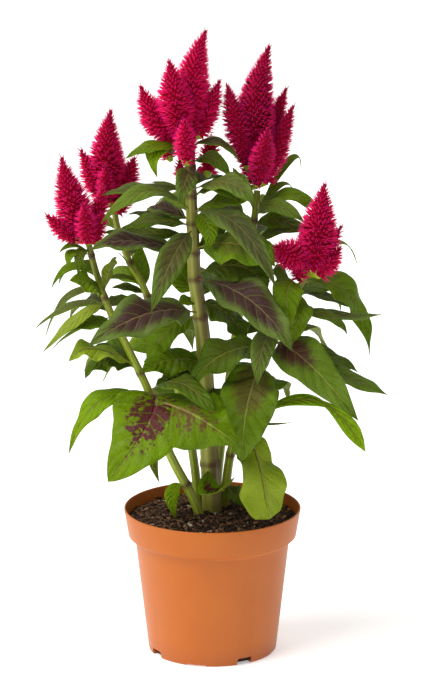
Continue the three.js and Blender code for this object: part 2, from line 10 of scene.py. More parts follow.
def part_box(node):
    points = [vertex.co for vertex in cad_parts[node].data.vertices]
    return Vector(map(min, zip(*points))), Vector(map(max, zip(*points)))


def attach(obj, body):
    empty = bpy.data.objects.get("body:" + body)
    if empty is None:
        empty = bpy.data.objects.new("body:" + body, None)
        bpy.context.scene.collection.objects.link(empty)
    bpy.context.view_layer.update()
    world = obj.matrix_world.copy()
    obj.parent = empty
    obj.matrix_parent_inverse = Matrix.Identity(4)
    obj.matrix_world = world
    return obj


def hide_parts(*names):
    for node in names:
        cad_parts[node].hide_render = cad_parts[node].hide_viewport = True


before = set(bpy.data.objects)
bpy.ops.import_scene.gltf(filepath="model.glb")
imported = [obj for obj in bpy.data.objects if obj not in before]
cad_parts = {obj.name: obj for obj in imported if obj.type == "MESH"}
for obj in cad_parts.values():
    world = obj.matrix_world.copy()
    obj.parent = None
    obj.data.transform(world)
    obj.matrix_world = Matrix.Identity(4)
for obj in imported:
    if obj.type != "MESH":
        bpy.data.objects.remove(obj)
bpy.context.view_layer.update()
mm = 0.001
up = Vector((0, 0, 1))
back = Vector((0, 1, 0))
print("frame loaded")


def addObject(name, data):
    # an object in the scene
    made = bpy.data.objects.new(name, data)
    bpy.context.scene.collection.objects.link(made)
    return made


def meshFrom(name, bm):
    # a mesh from a bmesh, which is freed
    mesh = bpy.data.meshes.new(name)
    bm.to_mesh(mesh)
    bm.free()
    return mesh


def inMetres(bm):
    # a bmesh in mm, scaled to metres
    bmesh.ops.scale(bm, verts=bm.verts, vec=(mm, mm, mm))
    return bm


cameraSetup = {
    "target": (7.2, 0, 215.6),  # mm
    "distance": 2500,  # mm
    "pitch": 14.7,  # degrees that it looks down
    "lens": 195.83,
}


def addCamera():
    pitch = radians(cameraSetup["pitch"])
    away = Vector((0, -cos(pitch), sin(pitch))) * cameraSetup["distance"]
    camera = addObject("plantCamera", bpy.data.cameras.new("plantCamera"))
    camera.data.lens = cameraSetup["lens"]
    camera.location = (Vector(cameraSetup["target"]) + away) * mm
    camera.rotation_euler = (pi / 2 - pitch, 0, 0)
    bpy.context.scene.camera = camera


addCamera()


def linearColour(code):
    # an sRGB hex colour as linear red, green, blue and alpha
    parts = [int(code[i : i + 2], 16) / 255 for i in (1, 3, 5)]
    return [p / 12.92 if p <= 0.04045 else ((p + 0.055) / 1.055) ** 2.4 for p in parts] + [1]


def setInputs(node, inputs):
    # inputs by name, or a list in the order in which the node shows them; each gets a value, a
    # hex colour, or the node or the output that feeds it
    if isinstance(inputs, dict):
        pairs = [(node.inputs[name], value) for name, value in inputs.items()]
    else:
        pairs = list(zip([socket for socket in node.inputs if socket.enabled], inputs))
    for socket, value in pairs:
        if isinstance(value, bpy.types.Node):
            value = next(output for output in value.outputs if output.enabled)
        if isinstance(value, bpy.types.NodeSocket):
            node.id_data.links.new(value, socket)
        else:
            socket.default_value = linearColour(value) if isinstance(value, str) else value


def addNode(tree, kind, inputs=None, **settings):
    # a node with its settings and its inputs; a Mix node mixes colours
    made = tree.nodes.new("ShaderNode" + kind)
    if kind == "Mix":
        made.data_type = "RGBA"
    for name, value in settings.items():
        setattr(made, name, value)
    setInputs(made, inputs or {})
    return made


# settings that many nodes share
smoothly = {"interpolation_type": "SMOOTHSTEP"}
times = {"operation": "MULTIPLY"}
timesPlus = {"operation": "MULTIPLY_ADD"}


def newMaterial(name, inputs):
    # a Principled material with these inputs, what adds a node to it, its shader and the place of
    # a point in the object
    material = bpy.data.materials.new(name)
    material.use_nodes = True
    shader = material.node_tree.nodes["Principled BSDF"]
    setInputs(shader, inputs)
    add = partial(addNode, material.node_tree)
    return material, add, shader, add("TexCoord").outputs["Object"]


def addPiece(name, bm, materials, nodes):
    # a finished mesh that stands for CAD nodes and rides with the plant
    piece = addObject(name, meshFrom(name, bm))
    for material in materials:
        piece.data.materials.append(material)
    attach(piece, "root")
    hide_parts(*nodes)
    return piece


def joinParts(parts):
    # one bmesh in metres from finished parts in mm
    bm = bmesh.new()
    for part in parts:
        mesh = meshFrom("part", part)
        bm.from_mesh(mesh)
        bpy.data.meshes.remove(mesh)
    return inMetres(bm)


def archOver(start, middle, end):
    # a quadratic curve that passes over its middle point, and its direction
    control = middle * 2 - (start + end) / 2

    def point(t):
        return start * (1 - t) ** 2 + control * (2 * t * (1 - t)) + end * t**2

    def direction(t):
        return ((control - start) * (1 - t) + (end - control) * t).normalized()

    return point, direction


def stemPoint(points, t):
    # a centripetal Catmull-Rom curve through the points
    last = len(points) - 1
    i = min(int(t * last), last - 1)
    w = t * last - i
    p1, p2 = points[i], points[i + 1]
    p0 = points[i - 1] if i > 0 else p1 * 2 - p2
    p3 = points[i + 2] if i + 2 <= last else p2 * 2 - p1
    d0, d1, d2 = [(a - b).length ** 0.5 for a, b in ((p0, p1), (p1, p2), (p2, p3))]
    m1 = ((p1 - p0) / d0 - (p2 - p0) / (d0 + d1) + (p2 - p1) / d1) * d1
    m2 = ((p2 - p1) / d1 - (p3 - p1) / (d1 + d2) + (p3 - p2) / d2) * d1
    bend = p1 * 2 - p2 * 2 + m1 + m2
    sweep = p2 * 3 - p1 * 3 - m1 * 2 - m2
    return p1 + m1 * w + sweep * w**2 + bend * w**3


def ringPoint(centre, along, radius, angle):
    # a point on a ring round a centre, square to a direction
    side = back.cross(along).normalized()
    return centre + side * (radius * cos(angle)) + along.cross(side) * (radius * sin(angle))


def bentTube(bm, rings, sides, place):
    # a capped cylinder, cut into rings, each of whose points a rule puts in its place
    start = len(bm.verts)
    made = bmesh.ops.create_cone(bm, cap_ends=True, segments=sides, radius1=1, radius2=1, depth=1)
    edges = {e for v in made["verts"] for e in v.link_edges}
    upright = [e for e in edges if abs(e.verts[0].co.z - e.verts[1].co.z) > 0.5]
    bmesh.ops.subdivide_edges(bm, edges=upright, cuts=rings - 1)
    bm.verts.ensure_lookup_table()
    for v in bm.verts[start:]:
        place(v, v.co.z + 0.5, atan2(v.co.y, v.co.x))


# The pot: a moulded nursery pot with a collar, low drain channels under its foot and a drain hole
# in each deep one.
potMade = {
    "height": 100,
    "rimRadius": 60,
    "collarHeight": 19,
    "collarFootRadius": 57.2,
    "waistRadius": 52.4,
    "footRadius": 43.7,
    "wall": 1.2,
    "floor": 1.6,
    "lip": 0.6,  # radius of the rim's round edge
    "steps": 144,
    "firstChannel": 30,  # degrees from the front, towards the right
    "deepChannel": (11.2, 4.8, 16),  # width, height and reach
    "shallowChannel": (14, 1.1, 5),
    "holeRadius": 3,
    "holeInset": 10,
    "shoulder": 1.6,  # radius of a channel's long edges
}


def mouldedPolypropylene():
    # injection-moulded polypropylene in terracotta: satin, faintly mottled, with soft flow rings
    material, add, shader, place = newMaterial("mouldedPolypropylene", {
        "IOR": 1.49, "Specular IOR Level": 0.4, "Subsurface Weight": 0.06, "Subsurface Scale": 0.002,
    })
    cloud = add("TexNoise", [place, 1 / (28 * mm), 3])
    grain = add("TexNoise", [place, 1 / (0.9 * mm), 2])
    plain = add("Mix", [cloud, "#b35a10", "#be6716"])
    # darker and mottled towards the foot, over its lowest 14 mm
    height = add("SeparateXYZ", [place]).outputs["Z"]
    foot = add("MapRange", [height, 0.014, 0.001])
    footDarkening = add("Math", [foot, cloud], **times)
    darkenedFoot = add("Mix", [footDarkening, plain, "#a5541f"])
    gloss = add("MapRange", [grain, 0, 1, 0.36, 0.5])
    # flow rings, a few mm apart and a few hundredths of a mm deep
    rings = add("Mapping", {"Vector": place, "Scale": (14, 14, 420)})
    flow = add("TexNoise", [rings, 1, 2])
    height = add("Math", [flow, grain])
    bump = add("Bump", {"Height": height, "Distance": 0.05 * mm})
    setInputs(shader, {"Base Color": darkenedFoot, "Roughness": gloss, "Normal": bump})
    return material


def turnedSolid(profile, steps):
    # a closed solid from radii and heights that start and end on the axis
    bm = bmesh.new()
    points = [bm.verts.new((radius, 0, height)) for radius, height in profile]
    edges = [bm.edges.new(pair) for pair in zip(points, points[1:])]
    spun = {"axis": (0, 0, 1), "angle": 2 * pi, "steps": steps, "use_merge": True}
    bmesh.ops.spin(bm, geom=points + edges, **spun)
    bmesh.ops.remove_doubles(bm, verts=bm.verts, dist=1e-4)
    bmesh.ops.recalc_face_normals(bm, faces=bm.faces)
    return bm


def vertsOf(geom):
    # only the points of some geometry
    return [g for g in geom if isinstance(g, bmesh.types.BMVert)]


def fourRound(bm, angle):
    # turns a shape to its angle and copies it at every quarter turn
    turn = Matrix.Rotation(radians(angle), 3, "Z")
    bmesh.ops.rotate(bm, verts=bm.verts, matrix=turn)
    for quarter in (1, 2):
        made = bmesh.ops.duplicate(bm, geom=[*bm.verts, *bm.edges, *bm.faces])["geom"]
        turn = Matrix.Rotation(pi / 2 * quarter, 3, "Z")
        bmesh.ops.rotate(bm, verts=vertsOf(made), matrix=turn)
    return bm


def channelBars(size, angle, extra=0):
    # round-shouldered bars in the four channels of one size, larger all round by the extra
    width, height, reach = size
    past = 4  # mm that a bar stands out past the foot
    bm = bmesh.new()
    bmesh.ops.create_cube(bm, size=1)
    length = reach + extra + past
    bmesh.ops.scale(bm, verts=bm.verts, vec=(width + 2 * extra, length, 2 * (height + extra)))
    bmesh.ops.bevel(
        bm,
        geom=[e for e in bm.edges if abs(e.verts[0].co.y - e.verts[1].co.y) > 1],
        offset=min(potMade["shoulder"], height * 0.6),
        affect="EDGES",
        segments=4,
        profile=0.5,
        material=-1,
    )
    middle = length / 2 - past - potMade["footRadius"]
    bmesh.ops.translate(bm, verts=bm.verts, vec=(0, middle, 0))
    return fourRound(bm, angle)


def drainBores(angle):
    # upright rods where the drain holes go
    bm = bmesh.new()
    radius = potMade["holeRadius"]
    bmesh.ops.create_cone(bm, cap_ends=True, segments=32, radius1=radius, radius2=radius, depth=16)
    inset = potMade["holeInset"] - potMade["footRadius"]
    bmesh.ops.translate(bm, verts=bm.verts, vec=(0, inset, 0))
    return fourRound(bm, angle)


def looseObject(bm):
    # a loose object, in metres, from a bmesh in mm
    return addObject("loose", meshFrom("loose", inMetres(bm)))


def cutAway(body, cutter):
    # takes the cutter's shape out of the body's mesh, and removes the cutter
    modifier = body.modifiers.new("cut", "BOOLEAN")
    modifier.operation = "DIFFERENCE"
    modifier.solver = "EXACT"
    modifier.object = cutter
    evaluated = body.evaluated_get(bpy.context.evaluated_depsgraph_get())
    body.data = bpy.data.meshes.new_from_object(evaluated)
    body.modifiers.clear()
    bpy.data.objects.remove(cutter)


def addPot():
    p = potMade
    foot, waist, collar, rim = (p[at + "Radius"] for at in ("foot", "waist", "collarFoot", "rim"))
    top, wall, lip = p["height"], p["wall"], p["lip"]
    shelf = top - p["collarHeight"]
    # radii and heights: the foot's round edge, the wall, the step out to the collar
    outer = [
        (0, 0),
        (foot - 1.2, 0),
        (foot - 0.35, 0.35),
        (foot, 1.2),
        (waist - 0.15, shelf - 4.5),
        (waist, shelf - 3),
        (waist + 0.9, shelf - 1.6),
        (waist + 2.2, shelf - 0.7),
        (collar - 0.9, shelf - 0.3),
        (collar - 0.2, shelf + 0.2),
        (collar, shelf + 1.2),
    ]
    for step in range(7):  # the round edge of the rim
        angle = pi * step / 6
        radius = rim - lip + lip * cos(angle)
        outer.append((radius, top - lip + lip * sin(angle)))
    rimInside = outer[-1]
    outer.append((0, rimInside[1]))
    inner = [
        (0, p["floor"]),
        (foot - wall - 1, p["floor"]),
        (foot - wall, p["floor"] + 1),
        (waist - wall, shelf - 1.2),
        (waist + 0.8, shelf + 0.8),
        (collar - wall, shelf + 1.6),
        rimInside,
        (rimInside[0] + 0.05, top + 5),
        (0, top + 5),
    ]
    first = p["firstChannel"]
    hollow = looseObject(turnedSolid(inner, p["steps"]))
    cutAway(hollow, looseObject(channelBars(p["deepChannel"], first, wall)))
    body = looseObject(turnedSolid(outer, p["steps"]))
    cutAway(body, hollow)
    deep, shallow = channelBars(p["deepChannel"], first), channelBars(p["shallowChannel"], first + 45)
    for cutter in (deep, shallow, drainBores(first)):
        cutAway(body, looseObject(cutter))
    bm = bmesh.new()
    bm.from_mesh(body.data)
    bpy.data.objects.remove(body)
    pot = addPiece("potShell", bm, [mouldedPolypropylene()], ["pot"])
    pot.data.shade_smooth()
    pot.data.set_sharp_from_angle(angle=radians(40))


# The soil: damp peat in the pot, mounded at the stems, with crumbs, bark, fibres and a few white
# grains of perlite on it.
soilMade = {
    "seed": 5,
    "radius": 57.2,
    "edgeHeight": 92,
    "mound": 5,
    "lump": 1.1,  # height of the lumps
    "lumpLengths": (3.2, 3.7, 2.1),  # across, in depth and aslant
    "clods": ((5, 3, 1.4), (2, 8, 0.7)),  # length, place in the noise and height
    "crumbs": 2600,
    "crumbSize": (0.7, 2.6),
    "crumbRadius": (0.35, 0.65),  # each way, as a share of the size
    "perlite": 26,
    "perliteRadius": (0.5, 1.4),
    "chips": 260,
    "chipLength": (1.5, 4.5),
    "chipBreadth": (0.25, 0.5),  # as a share of the length
    "chipThickness": (0.5, 1.2),
    "chipTilt": (0.4, 0.5),  # radians either way, about its breadth and its length
    "chipRough": 0.35,  # mm that its corners are off
    "fibres": 300,
    "fibreLength": (3, 12),
    "fibreRadius": (0.12, 0.24),
    "fibreBend": 0.9,  # radians either way
}


def dampPeat():
    # sphagnum peat, damp: near black and matt, its crumbs and chips from dark to fox brown
    dull = {"Roughness": 0.92, "Specular IOR Level": 0.25}
    material, add, shader, place = newMaterial("dampPeat", dull)
    tone, loose, white = add("SeparateXYZ", [add("Attribute", attribute_name="grain")]).outputs
    clod = add("TexNoise", [place, 1 / (3 * mm), 6])
    fine = add("TexNoise", [place, 1 / (0.7 * mm), 3])
    ground = add("Mix", [clod, "#120a07", "#3d281c"])
    chip = add("Mix", [tone, "#21140d", "#8f6a4c"])
    brown = add("Mix", [loose, ground, chip])
    colour = add("Mix", [white, brown, "#cfc8ba"])
    height = add("Math", [clod, fine])
    bump = add("Bump", {"Height": height, "Distance": 0.6 * mm})
    setInputs(shader, {"Base Color": colour, "Normal": bump})
    return material


def soilHeight(x, y):
    # the mound with its lumps and clods
    share = min(1, hypot(x, y) / soilMade["radius"])
    across, inDepth, aslant = soilMade["lumpLengths"]
    lumps = sin(x / across + 1) * cos(y / inDepth) + 0.7 * sin((x - y) / aslant)
    rise = soilMade["mound"] + soilMade["lump"] * lumps
    clods = sum(high * noise.noise((x / long, y / long, z)) for long, z, high in soilMade["clods"])
    return soilMade["edgeHeight"] + rise * (1 - share**2) + clods


def onSoil(draw):
    # a drawn place on the soil, clear of the pot's wall
    radius = (soilMade["radius"] - 2) * sqrt(draw.random())
    angle = 2 * pi * draw.random()
    x, y = radius * cos(angle), radius * sin(angle)
    return Vector((x, y, soilHeight(x, y)))


def drawnTurn(draw):
    # any turn
    turns = [Matrix.Rotation(draw.uniform(0, 2 * pi), 4, axis) for axis in "XYZ"]
    return turns[0] @ turns[1] @ turns[2]


def addSoil():
    p = soilMade
    draw = random.Random(p["seed"])
    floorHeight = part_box("soil")[0].z / mm
    shelf = potMade["height"] - potMade["collarHeight"]
    inset = potMade["wall"] + 0.3  # the wall and a gap
    radii = [potMade[part + "Radius"] - inset for part in ("foot", "waist", "collarFoot")]
    side = zip(radii, (floorHeight, shelf - 1, shelf + 2))
    surface = [(p["radius"] * (1 - k / 56), p["edgeHeight"]) for k in range(56)]
    bm = turnedSolid([(0, floorHeight), *side, *surface, (0, p["edgeHeight"])], 120)
    for v in bm.verts:
        if v.co.z > p["edgeHeight"] - 0.1:
            v.co.z = soilHeight(v.co.x, v.co.y)
    grain = bm.verts.layers.float_vector.new("grain")

    def mark(verts, tone, loose, white=0):
        for v in verts:
            v[grain] = (tone, loose, white)

    def somewhere(rise):
        # a drawn place this far above the soil
        return Matrix.Translation(onSoil(draw) + up * rise)

    least, most = p["crumbSize"]
    for _ in range(p["crumbs"]):
        size = least + (most - least) * draw.random() ** 3
        shape = Matrix.Diagonal([size * draw.uniform(*p["crumbRadius"]) for _ in range(3)] + [1])
        place = somewhere(size * 0.15) @ drawnTurn(draw) @ shape
        made = bmesh.ops.create_icosphere(bm, subdivisions=1, radius=1, matrix=place)
        mark(made["verts"], draw.random() ** 2, 0.8)
    for _ in range(p["perlite"]):
        size = draw.uniform(*p["perliteRadius"])
        place = somewhere(0.5) @ drawnTurn(draw)
        made = bmesh.ops.create_icosphere(bm, subdivisions=1, radius=size, matrix=place)
        mark(made["verts"], 0, 1, 0.9)
    for _ in range(p["chips"]):
        length = draw.uniform(*p["chipLength"])
        breadth = length * draw.uniform(*p["chipBreadth"])
        shape = Matrix.Diagonal((length, breadth, draw.uniform(*p["chipThickness"]), 1))
        place = somewhere(0.9)
        for far, axis in zip((pi, *p["chipTilt"]), "ZYX"):
            place = place @ Matrix.Rotation(draw.uniform(-far, far), 4, axis)
        made = bmesh.ops.create_cube(bm, size=1, matrix=place @ shape)
        for v in made["verts"]:
            v.co += Vector([draw.uniform(-p["chipRough"], p["chipRough"]) for _ in range(3)])
        mark(made["verts"], 1.15 * draw.random(), 1)
    for _ in range(p["fibres"]):
        start = onSoil(draw)
        length = draw.uniform(*p["fibreLength"])
        angle = draw.uniform(0, 2 * pi)
        middle = start + Vector((cos(angle), sin(angle), 0)) * length / 2
        angle += draw.uniform(-p["fibreBend"], p["fibreBend"])
        end = middle + Vector((cos(angle), sin(angle), 0)) * length / 2
        if end.xy.length > p["radius"] - 2:
            continue
        middle.z = soilHeight(middle.x, middle.y) + 0.4 + 1.2 * draw.random()
        end.z = soilHeight(end.x, end.y) + 0.3
        point, direction = archOver(start, middle, end)
        radius = draw.uniform(*p["fibreRadius"])
        tone = draw.uniform(0.3, 1.2)

        def place(v, share, angle):
            around = Vector((cos(angle) * radius, 0, sin(angle) * radius))
            v.co = point(share) + direction(share).to_track_quat("Y", "Z") @ around
            v[grain] = (tone, 1, 0)

        bentTube(bm, 6, 4, place)
    addPiece("peat", inMetres(bm), [dampPeat()], ["soil"])


# The five leafy stems: each has its radii at the foot and the top, how old and tan it is, and its
# path from down in the soil to its head.
stems = {
    "main": {"foot": 7, "top": 3.2, "age": 0.75, "path": [
        (1, 0, 68), (0, 0, 92), (-2, 0, 133), (-4, 0, 177), (-6, 0, 214), (-9, 0, 240),
        (-12, 1, 262), (-13, 2, 292), (-14, 2, 313), (-15, 2, 352),
    ]},
    "left": {"foot": 3.4, "top": 2, "age": 0.15, "path": [
        (-6, -9, 68), (-9, -10, 98), (-30, -12, 144), (-42, -13, 183), (-54, -14, 210),
        (-68, -14, 240), (-77, -15, 267), (-82, -15, 287),
    ]},
    "backLeft": {"foot": 3.2, "top": 2, "age": 0.15, "path": [
        (-10, 11, 68), (-10, 11, 101), (-15, 14, 143), (-25, 18, 184), (-35, 20, 212),
        (-46, 22, 247), (-57, 23, 268), (-64, 24, 290), (-66, 24, 302),
    ]},
    "right": {"foot": 3.4, "top": 2, "age": 0.15, "path": [
        (7, 9, 68), (8, 9, 98), (13, 3, 140), (25, -3, 176), (39, -7, 212), (52, -11, 247),
        (62, -12, 263),
    ]},
    "backRight": {"foot": 3.2, "top": 2.2, "age": 0.15, "path": [
        (1, 15, 68), (2, 15, 100), (7, 15, 150), (15, 16, 213), (20, 16, 241), (24, 16, 268),
        (28, 16, 295), (30, 16, 316),
    ]},
}

# Their leaves: the height where a leaf joins, the point that it arches over, its tip, its width, its
# look, and what differs from the usual leaf.
leafRows = {
    "main": [
        (330, (-17, -26, 334), (-22, -33, 317), 16, "dusky"),
        (345, (-38, -16, 353), (-57, -18, 345), 13, "green", {"face": 25}),
        (339, (-36, -14, 350), (-36, -22, 333), 15, "fresh"),
        (316, (-31, 22, 319), (-41, 30, 319), 6, "dark"),
        (320, (-48, -18, 325), (-72, -25, 322), 14, "grey", {"face": 18}),
        (304, (-43, -28, 325), (-73, -40, 306), 15, "ashen", {"face": 20}),
        (297, (-33, 8, 306), (-44, 14, 303), 17, "purple"),
        (298, (-36, 22, 299), (-57, 34, 296), 17, "dark"),
        (294, (-40, -5, 300), (-63, -8, 293), 17, "dark"),
        (276, (-54, -30, 292), (-79, -42, 289), 21, "purple", {"face": 30}),
        (288, (-48, 10, 288), (-73, 15, 288), 15, "dark"),
        (291, (-26, -45, 284), (-40, -62, 251), 20, "dusky"),
        (348, (4, 2, 352), (18, -2, 340), 11, "dusky"),
        (336, (-1, -10, 344), (13, -17, 331), 14, "dark"),
        (318, (11, -34, 332), (28, -46, 319), 19, "grey", {"face": 30}),
        (312, (3, -12, 326), (19, -25, 316), 18, "dark"),
        (305, (9, -8, 315), (28, -12, 317), 17, "green", {"face": 25}),
        (303, (9, 13, 307), (21, 12, 300), 16, "grey"),
        (305, (17, -38, 304), (42, -58, 267), 20, "smoky", {"face": 20}),
        (279, (18, -20, 287), (42, -30, 275), 34, "olive", {"face": 45}),
        (261, (20, -12, 270), (36, -20, 253), 28, "dark", {"face": 40}),
        (259, (25, -40, 254), (53, -60, 225), 31, "purple", {"face": 25}),
        (243, (9, -4, 236), (24, -6, 217), 28, "dark"),
        (303, (-3, -14, 299), (-3, -18, 283), 15, "green"),
        (277, (1, 6, 287), (11, 14, 301), 15, "dark"),
        (235, (-43, -45, 246), (-81, -62, 229), 34, "purple", {"face": 25}),
        (233, (-32, -12, 224), (-42, -16, 201), 22, "green"),
        (201, (-28, -20, 208), (-47, -32, 203), 28, "green", {"face": 30}),
        (203, (-28, -8, 207), (-46, -12, 205), 22, "dark"),
        (189, (-22, -14, 196), (-38, -20, 190), 24, "dark"),
        (249, (-19, 8, 258), (-24, 15, 274), 21, "green"),
        (240, (-17, -3, 245), (-22, -6, 242), 12, "green"),
        (181, (5, -10, 179), (11, -14, 160), 15, "dark"),
        (131, (0, -23, 117), (15, -27, 129), 18, "blotched", {"face": 10}),
        (335, (-18, 26, 342), (-22, 46, 326), 12, "green"),
        (318, (-2, 28, 326), (4, 50, 308), 14, "dusky"),
        (300, (-28, 34, 308), (-38, 62, 288), 16, "green"),
        (284, (0, 34, 292), (0, 60, 270), 18, "green"),
        (262, (-24, 42, 272), (-28, 72, 246), 22, "dusky"),
        (240, (2, 44, 250), (4, 76, 220), 24, "green"),
        (214, (-13, 44, 222), (-14, 76, 190), 24, "green"),
        (190, (-8, 42, 198), (-10, 70, 166), 26, "green"),
    ],
    "left": [
        (280, (-92, -24, 288), (-101, -30, 284), 5, "green"),
        (279, (-93, -26, 283), (-94, -28, 272), 8, "green"),
        (281, (-87, -26, 283), (-88, -32, 268), 8, "dark"),
        (265, (-94, -14, 271), (-107, -18, 257), 7, "green", {"face": 45}),
        (267, (-83, -6, 272), (-87, -6, 271), 5, "dark"),
        (252, (-68, -26, 272), (-63, -28, 281), 14, "dark"),
        (250, (-82, -28, 263), (-94, -36, 267), 20, "green", {"face": 35}),
        (255, (-97, -2, 247), (-112, 0, 220), 8, "grey", {"face": 45}),
        (245, (-94, -10, 243), (-118, -14, 229), 10, "grey"),
        (245, (-89, -26, 239), (-112, -36, 218), 12, "ashen", {"face": 200}),
        (231, (-80, -22, 235), (-94, -30, 231), 14, "green", {"face": 35}),
        (243, (-63, 6, 243), (-57, 14, 244), 12, "dark"),
        (200, (-78, -26, 218), (-95, -34, 211), 24, "faded", {"face": 192}),
        (198, (-70, -14, 208), (-85, -18, 195), 26, "dark", {"face": 25}),
        (174, (-74, -24, 181), (-96, -30, 146), 20, "fresh", {"face": 25}),
        (178, (-14, -68, 185), (18.6, -77, 164.6), 58, "speckled", {
            "face": 40, "fold": -34, "flare": 0.36, "taper": 1.1, "stalk": 0.3, "wave": 0.05,
        }),
        (184, (-40, -44, 175), (-69, -58, 135), 59, "blotched", {
            "face": 14, "flare": 0.4, "taper": 0.78, "wave": 0.04,
        }),
        (183, (-19, -48, 199), (5, -66, 178), 19, "dark", {"face": 14}),
        (157, (-41, 4, 140), (-36, 8, 114), 10, "dark"),
        (119, (-27, -14, 113), (-24, -18, 96), 11, "fresh"),
        (236, (-92, -6, 225), (-107, -8, 213), 5, "green"),
        (262, (-92, 6, 268), (-104, 22, 250), 12, "green"),
        (235, (-82, 12, 242), (-98, 34, 222), 16, "dusky"),
        (205, (-70, 12, 210), (-88, 34, 186), 18, "green"),
        (160, (-50, 14, 164), (-66, 32, 138), 18, "green"),
    ],
    "backLeft": [
        (245, (-49, 29, 259), (-48, 27, 278), 14, "green"),
        (242, (-57, 22, 248), (-68, 20, 248), 10, "dark"),
        (251, (-61, 20, 256), (-73, 16, 255), 6, "dark"),
        (255, (-57, 16, 267), (-63, 14, 274), 4, "green"),
        (285, (-78, 44, 290), (-90, 58, 272), 12, "green"),
        (265, (-54, 50, 272), (-54, 76, 250), 16, "dusky"),
        (245, (-66, 46, 252), (-86, 62, 228), 18, "green"),
        (220, (-46, 52, 230), (-52, 82, 200), 22, "green"),
        (196, (-52, 44, 202), (-76, 58, 172), 22, "green"),
        (165, (-32, 46, 172), (-38, 66, 138), 24, "green"),
    ],
    "right": [
        (254, (56, -30, 244), (53, -36, 223), 22, "green"),
        (257, (50, -28, 258), (52, -36, 231), 22, "green"),
        (242, (84, -10, 236), (113, -12, 238), 13, "grey", {"face": 24}),
        (253, (78, 10, 244), (101, 14, 234), 11, "dark"),
        (239, (76, -20, 239), (90, -24, 227), 11, "dark"),
        (259, (90, 2, 249), (106, -6, 208), 24, "green", {"face": 34}),
        (252, (82, 24, 278), (98, 28, 263), 7, "green"),
        (230, (34, -36, 223), (30, -46, 197), 17, "grey"),
        (218, (76, -5, 208), (98, -5, 196), 17, "dark", {"face": 24}),
        (213, (85, -14, 197), (117, -18, 184), 17, "ashen", {"face": 22}),
        (217, (64, -40, 211), (97, -48, 174), 31, "russet", {"face": 42, "flare": 0.5, "taper": 1}),
        (212, (9, -32, 216), (-15, -44, 196), 30, "dark", {"face": 30}),
        (203, (24, -42, 187), (20, -50, 147), 40, "streaked", {
            "flare": 0.6, "taper": 0.85, "quilting": 2,
        }),
        (179, (15, 4, 182), (7, 0, 186), 16, "dark"),
        (161, (34, 12, 155), (54, 16, 155), 3, "green"),
        (136, (60, 5, 176), (104, 5, 137), 12, "lime", {"face": 60, "flare": 8, "taper": 1.3}),
        (136, (46, 5, 171), (82, 5, 167), 9, "lime", {
            "face": 55, "flare": 1.5, "stalk": 0.3, "wave": 0.3,
        }),
        (158, (30, -34, 146), (38, -42, 104), 35, "pale", {"face": 170, "flare": 1, "taper": 0.34}),
        (112, (14, 2, 109), (24, -2, 99), 15, "dark"),
        (247, (44, -6, 266), (39, -6, 262), 14, "green"),
        (245, (74, 22, 250), (88, 44, 226), 18, "green"),
        (215, (62, 24, 222), (80, 46, 192), 20, "dusky"),
        (172, (42, 26, 182), (52, 46, 162), 22, "green"),
    ],
    "backRight": [
        (300, (52, 0, 317), (74, 2, 301), 12, "green", {"face": 30}),
        (306, (51, 16, 312), (67, 20, 299), 11, "green"),
        (297, (42, -8, 311), (62, -16, 301), 14, "ashen", {"face": 40}),
        (292, (45, 14, 296), (69, 22, 284), 14, "olive", {"face": 40}),
        (298, (52, 34, 333), (60, 42, 326), 6, "green"),
        (276, (44, 12, 290), (66, 14, 288), 12, "olive"),
        (300, (45, 24, 318), (54, 30, 314), 7, "green"),
        (300, (18, -11, 333), (22, -19, 325), 12, "grey"),
        (296, (40, 44, 304), (46, 62, 284), 14, "green"),
        (278, (30, 48, 286), (30, 74, 260), 18, "dusky"),
        (258, (48, 40, 266), (68, 54, 240), 20, "green"),
        (235, (26, 50, 244), (28, 80, 210), 24, "green"),
        (210, (44, 44, 218), (60, 66, 186), 24, "dusky"),
        (180, (18, 48, 188), (20, 78, 152), 26, "green"),
    ],
}

leafMade = {
    "thickness": 0.45,
    "stalkWidth": 1.7,
    "droop": 0.16,  # how far the edges curve back down, as a share of half the width
    "waves": 2.5,  # of the edge, along the leaf
    "ripple": 0.022,  # height of the fine ripples, as a share of the width
    "twist": 0.25,  # radians that a leaf turns either way towards its tip
    "rippleTurn": 37,  # radians that the fine ripples turn along the leaf
    "calmFoot": 0.15,  # shares of the length over which waves and ripples fade
    "calmTip": 0.2,
    "fullWidth": 30,  # mm wide from which a leaf has its full waves
    "sideVeins": 9,
    "veinSweep": 0.2,  # how far a side vein runs towards the tip, as a share of the length
    "ribRadius": 0.62,
    "ribLength": 0.92,
    "grids": ((14, 22, 8), (24, 32, 10), (99, 46, 14)),  # rows and columns for leaves under a width
    "usual": {
        "face": 22,  # degrees that its face leans to the front
        "fold": 16,  # degrees that each half rises from the midrib
        "flare": 0.8,  # how late it widens
        "taper": 1.15,  # how long it is drawn out
        "stalk": 0.1,  # bare stalk, as a share of the length
        "wave": 0.12,  # height of the edge's waves, as a share of the width
        "quilting": 1,  # mm that the blade swells between its side veins
    },
}
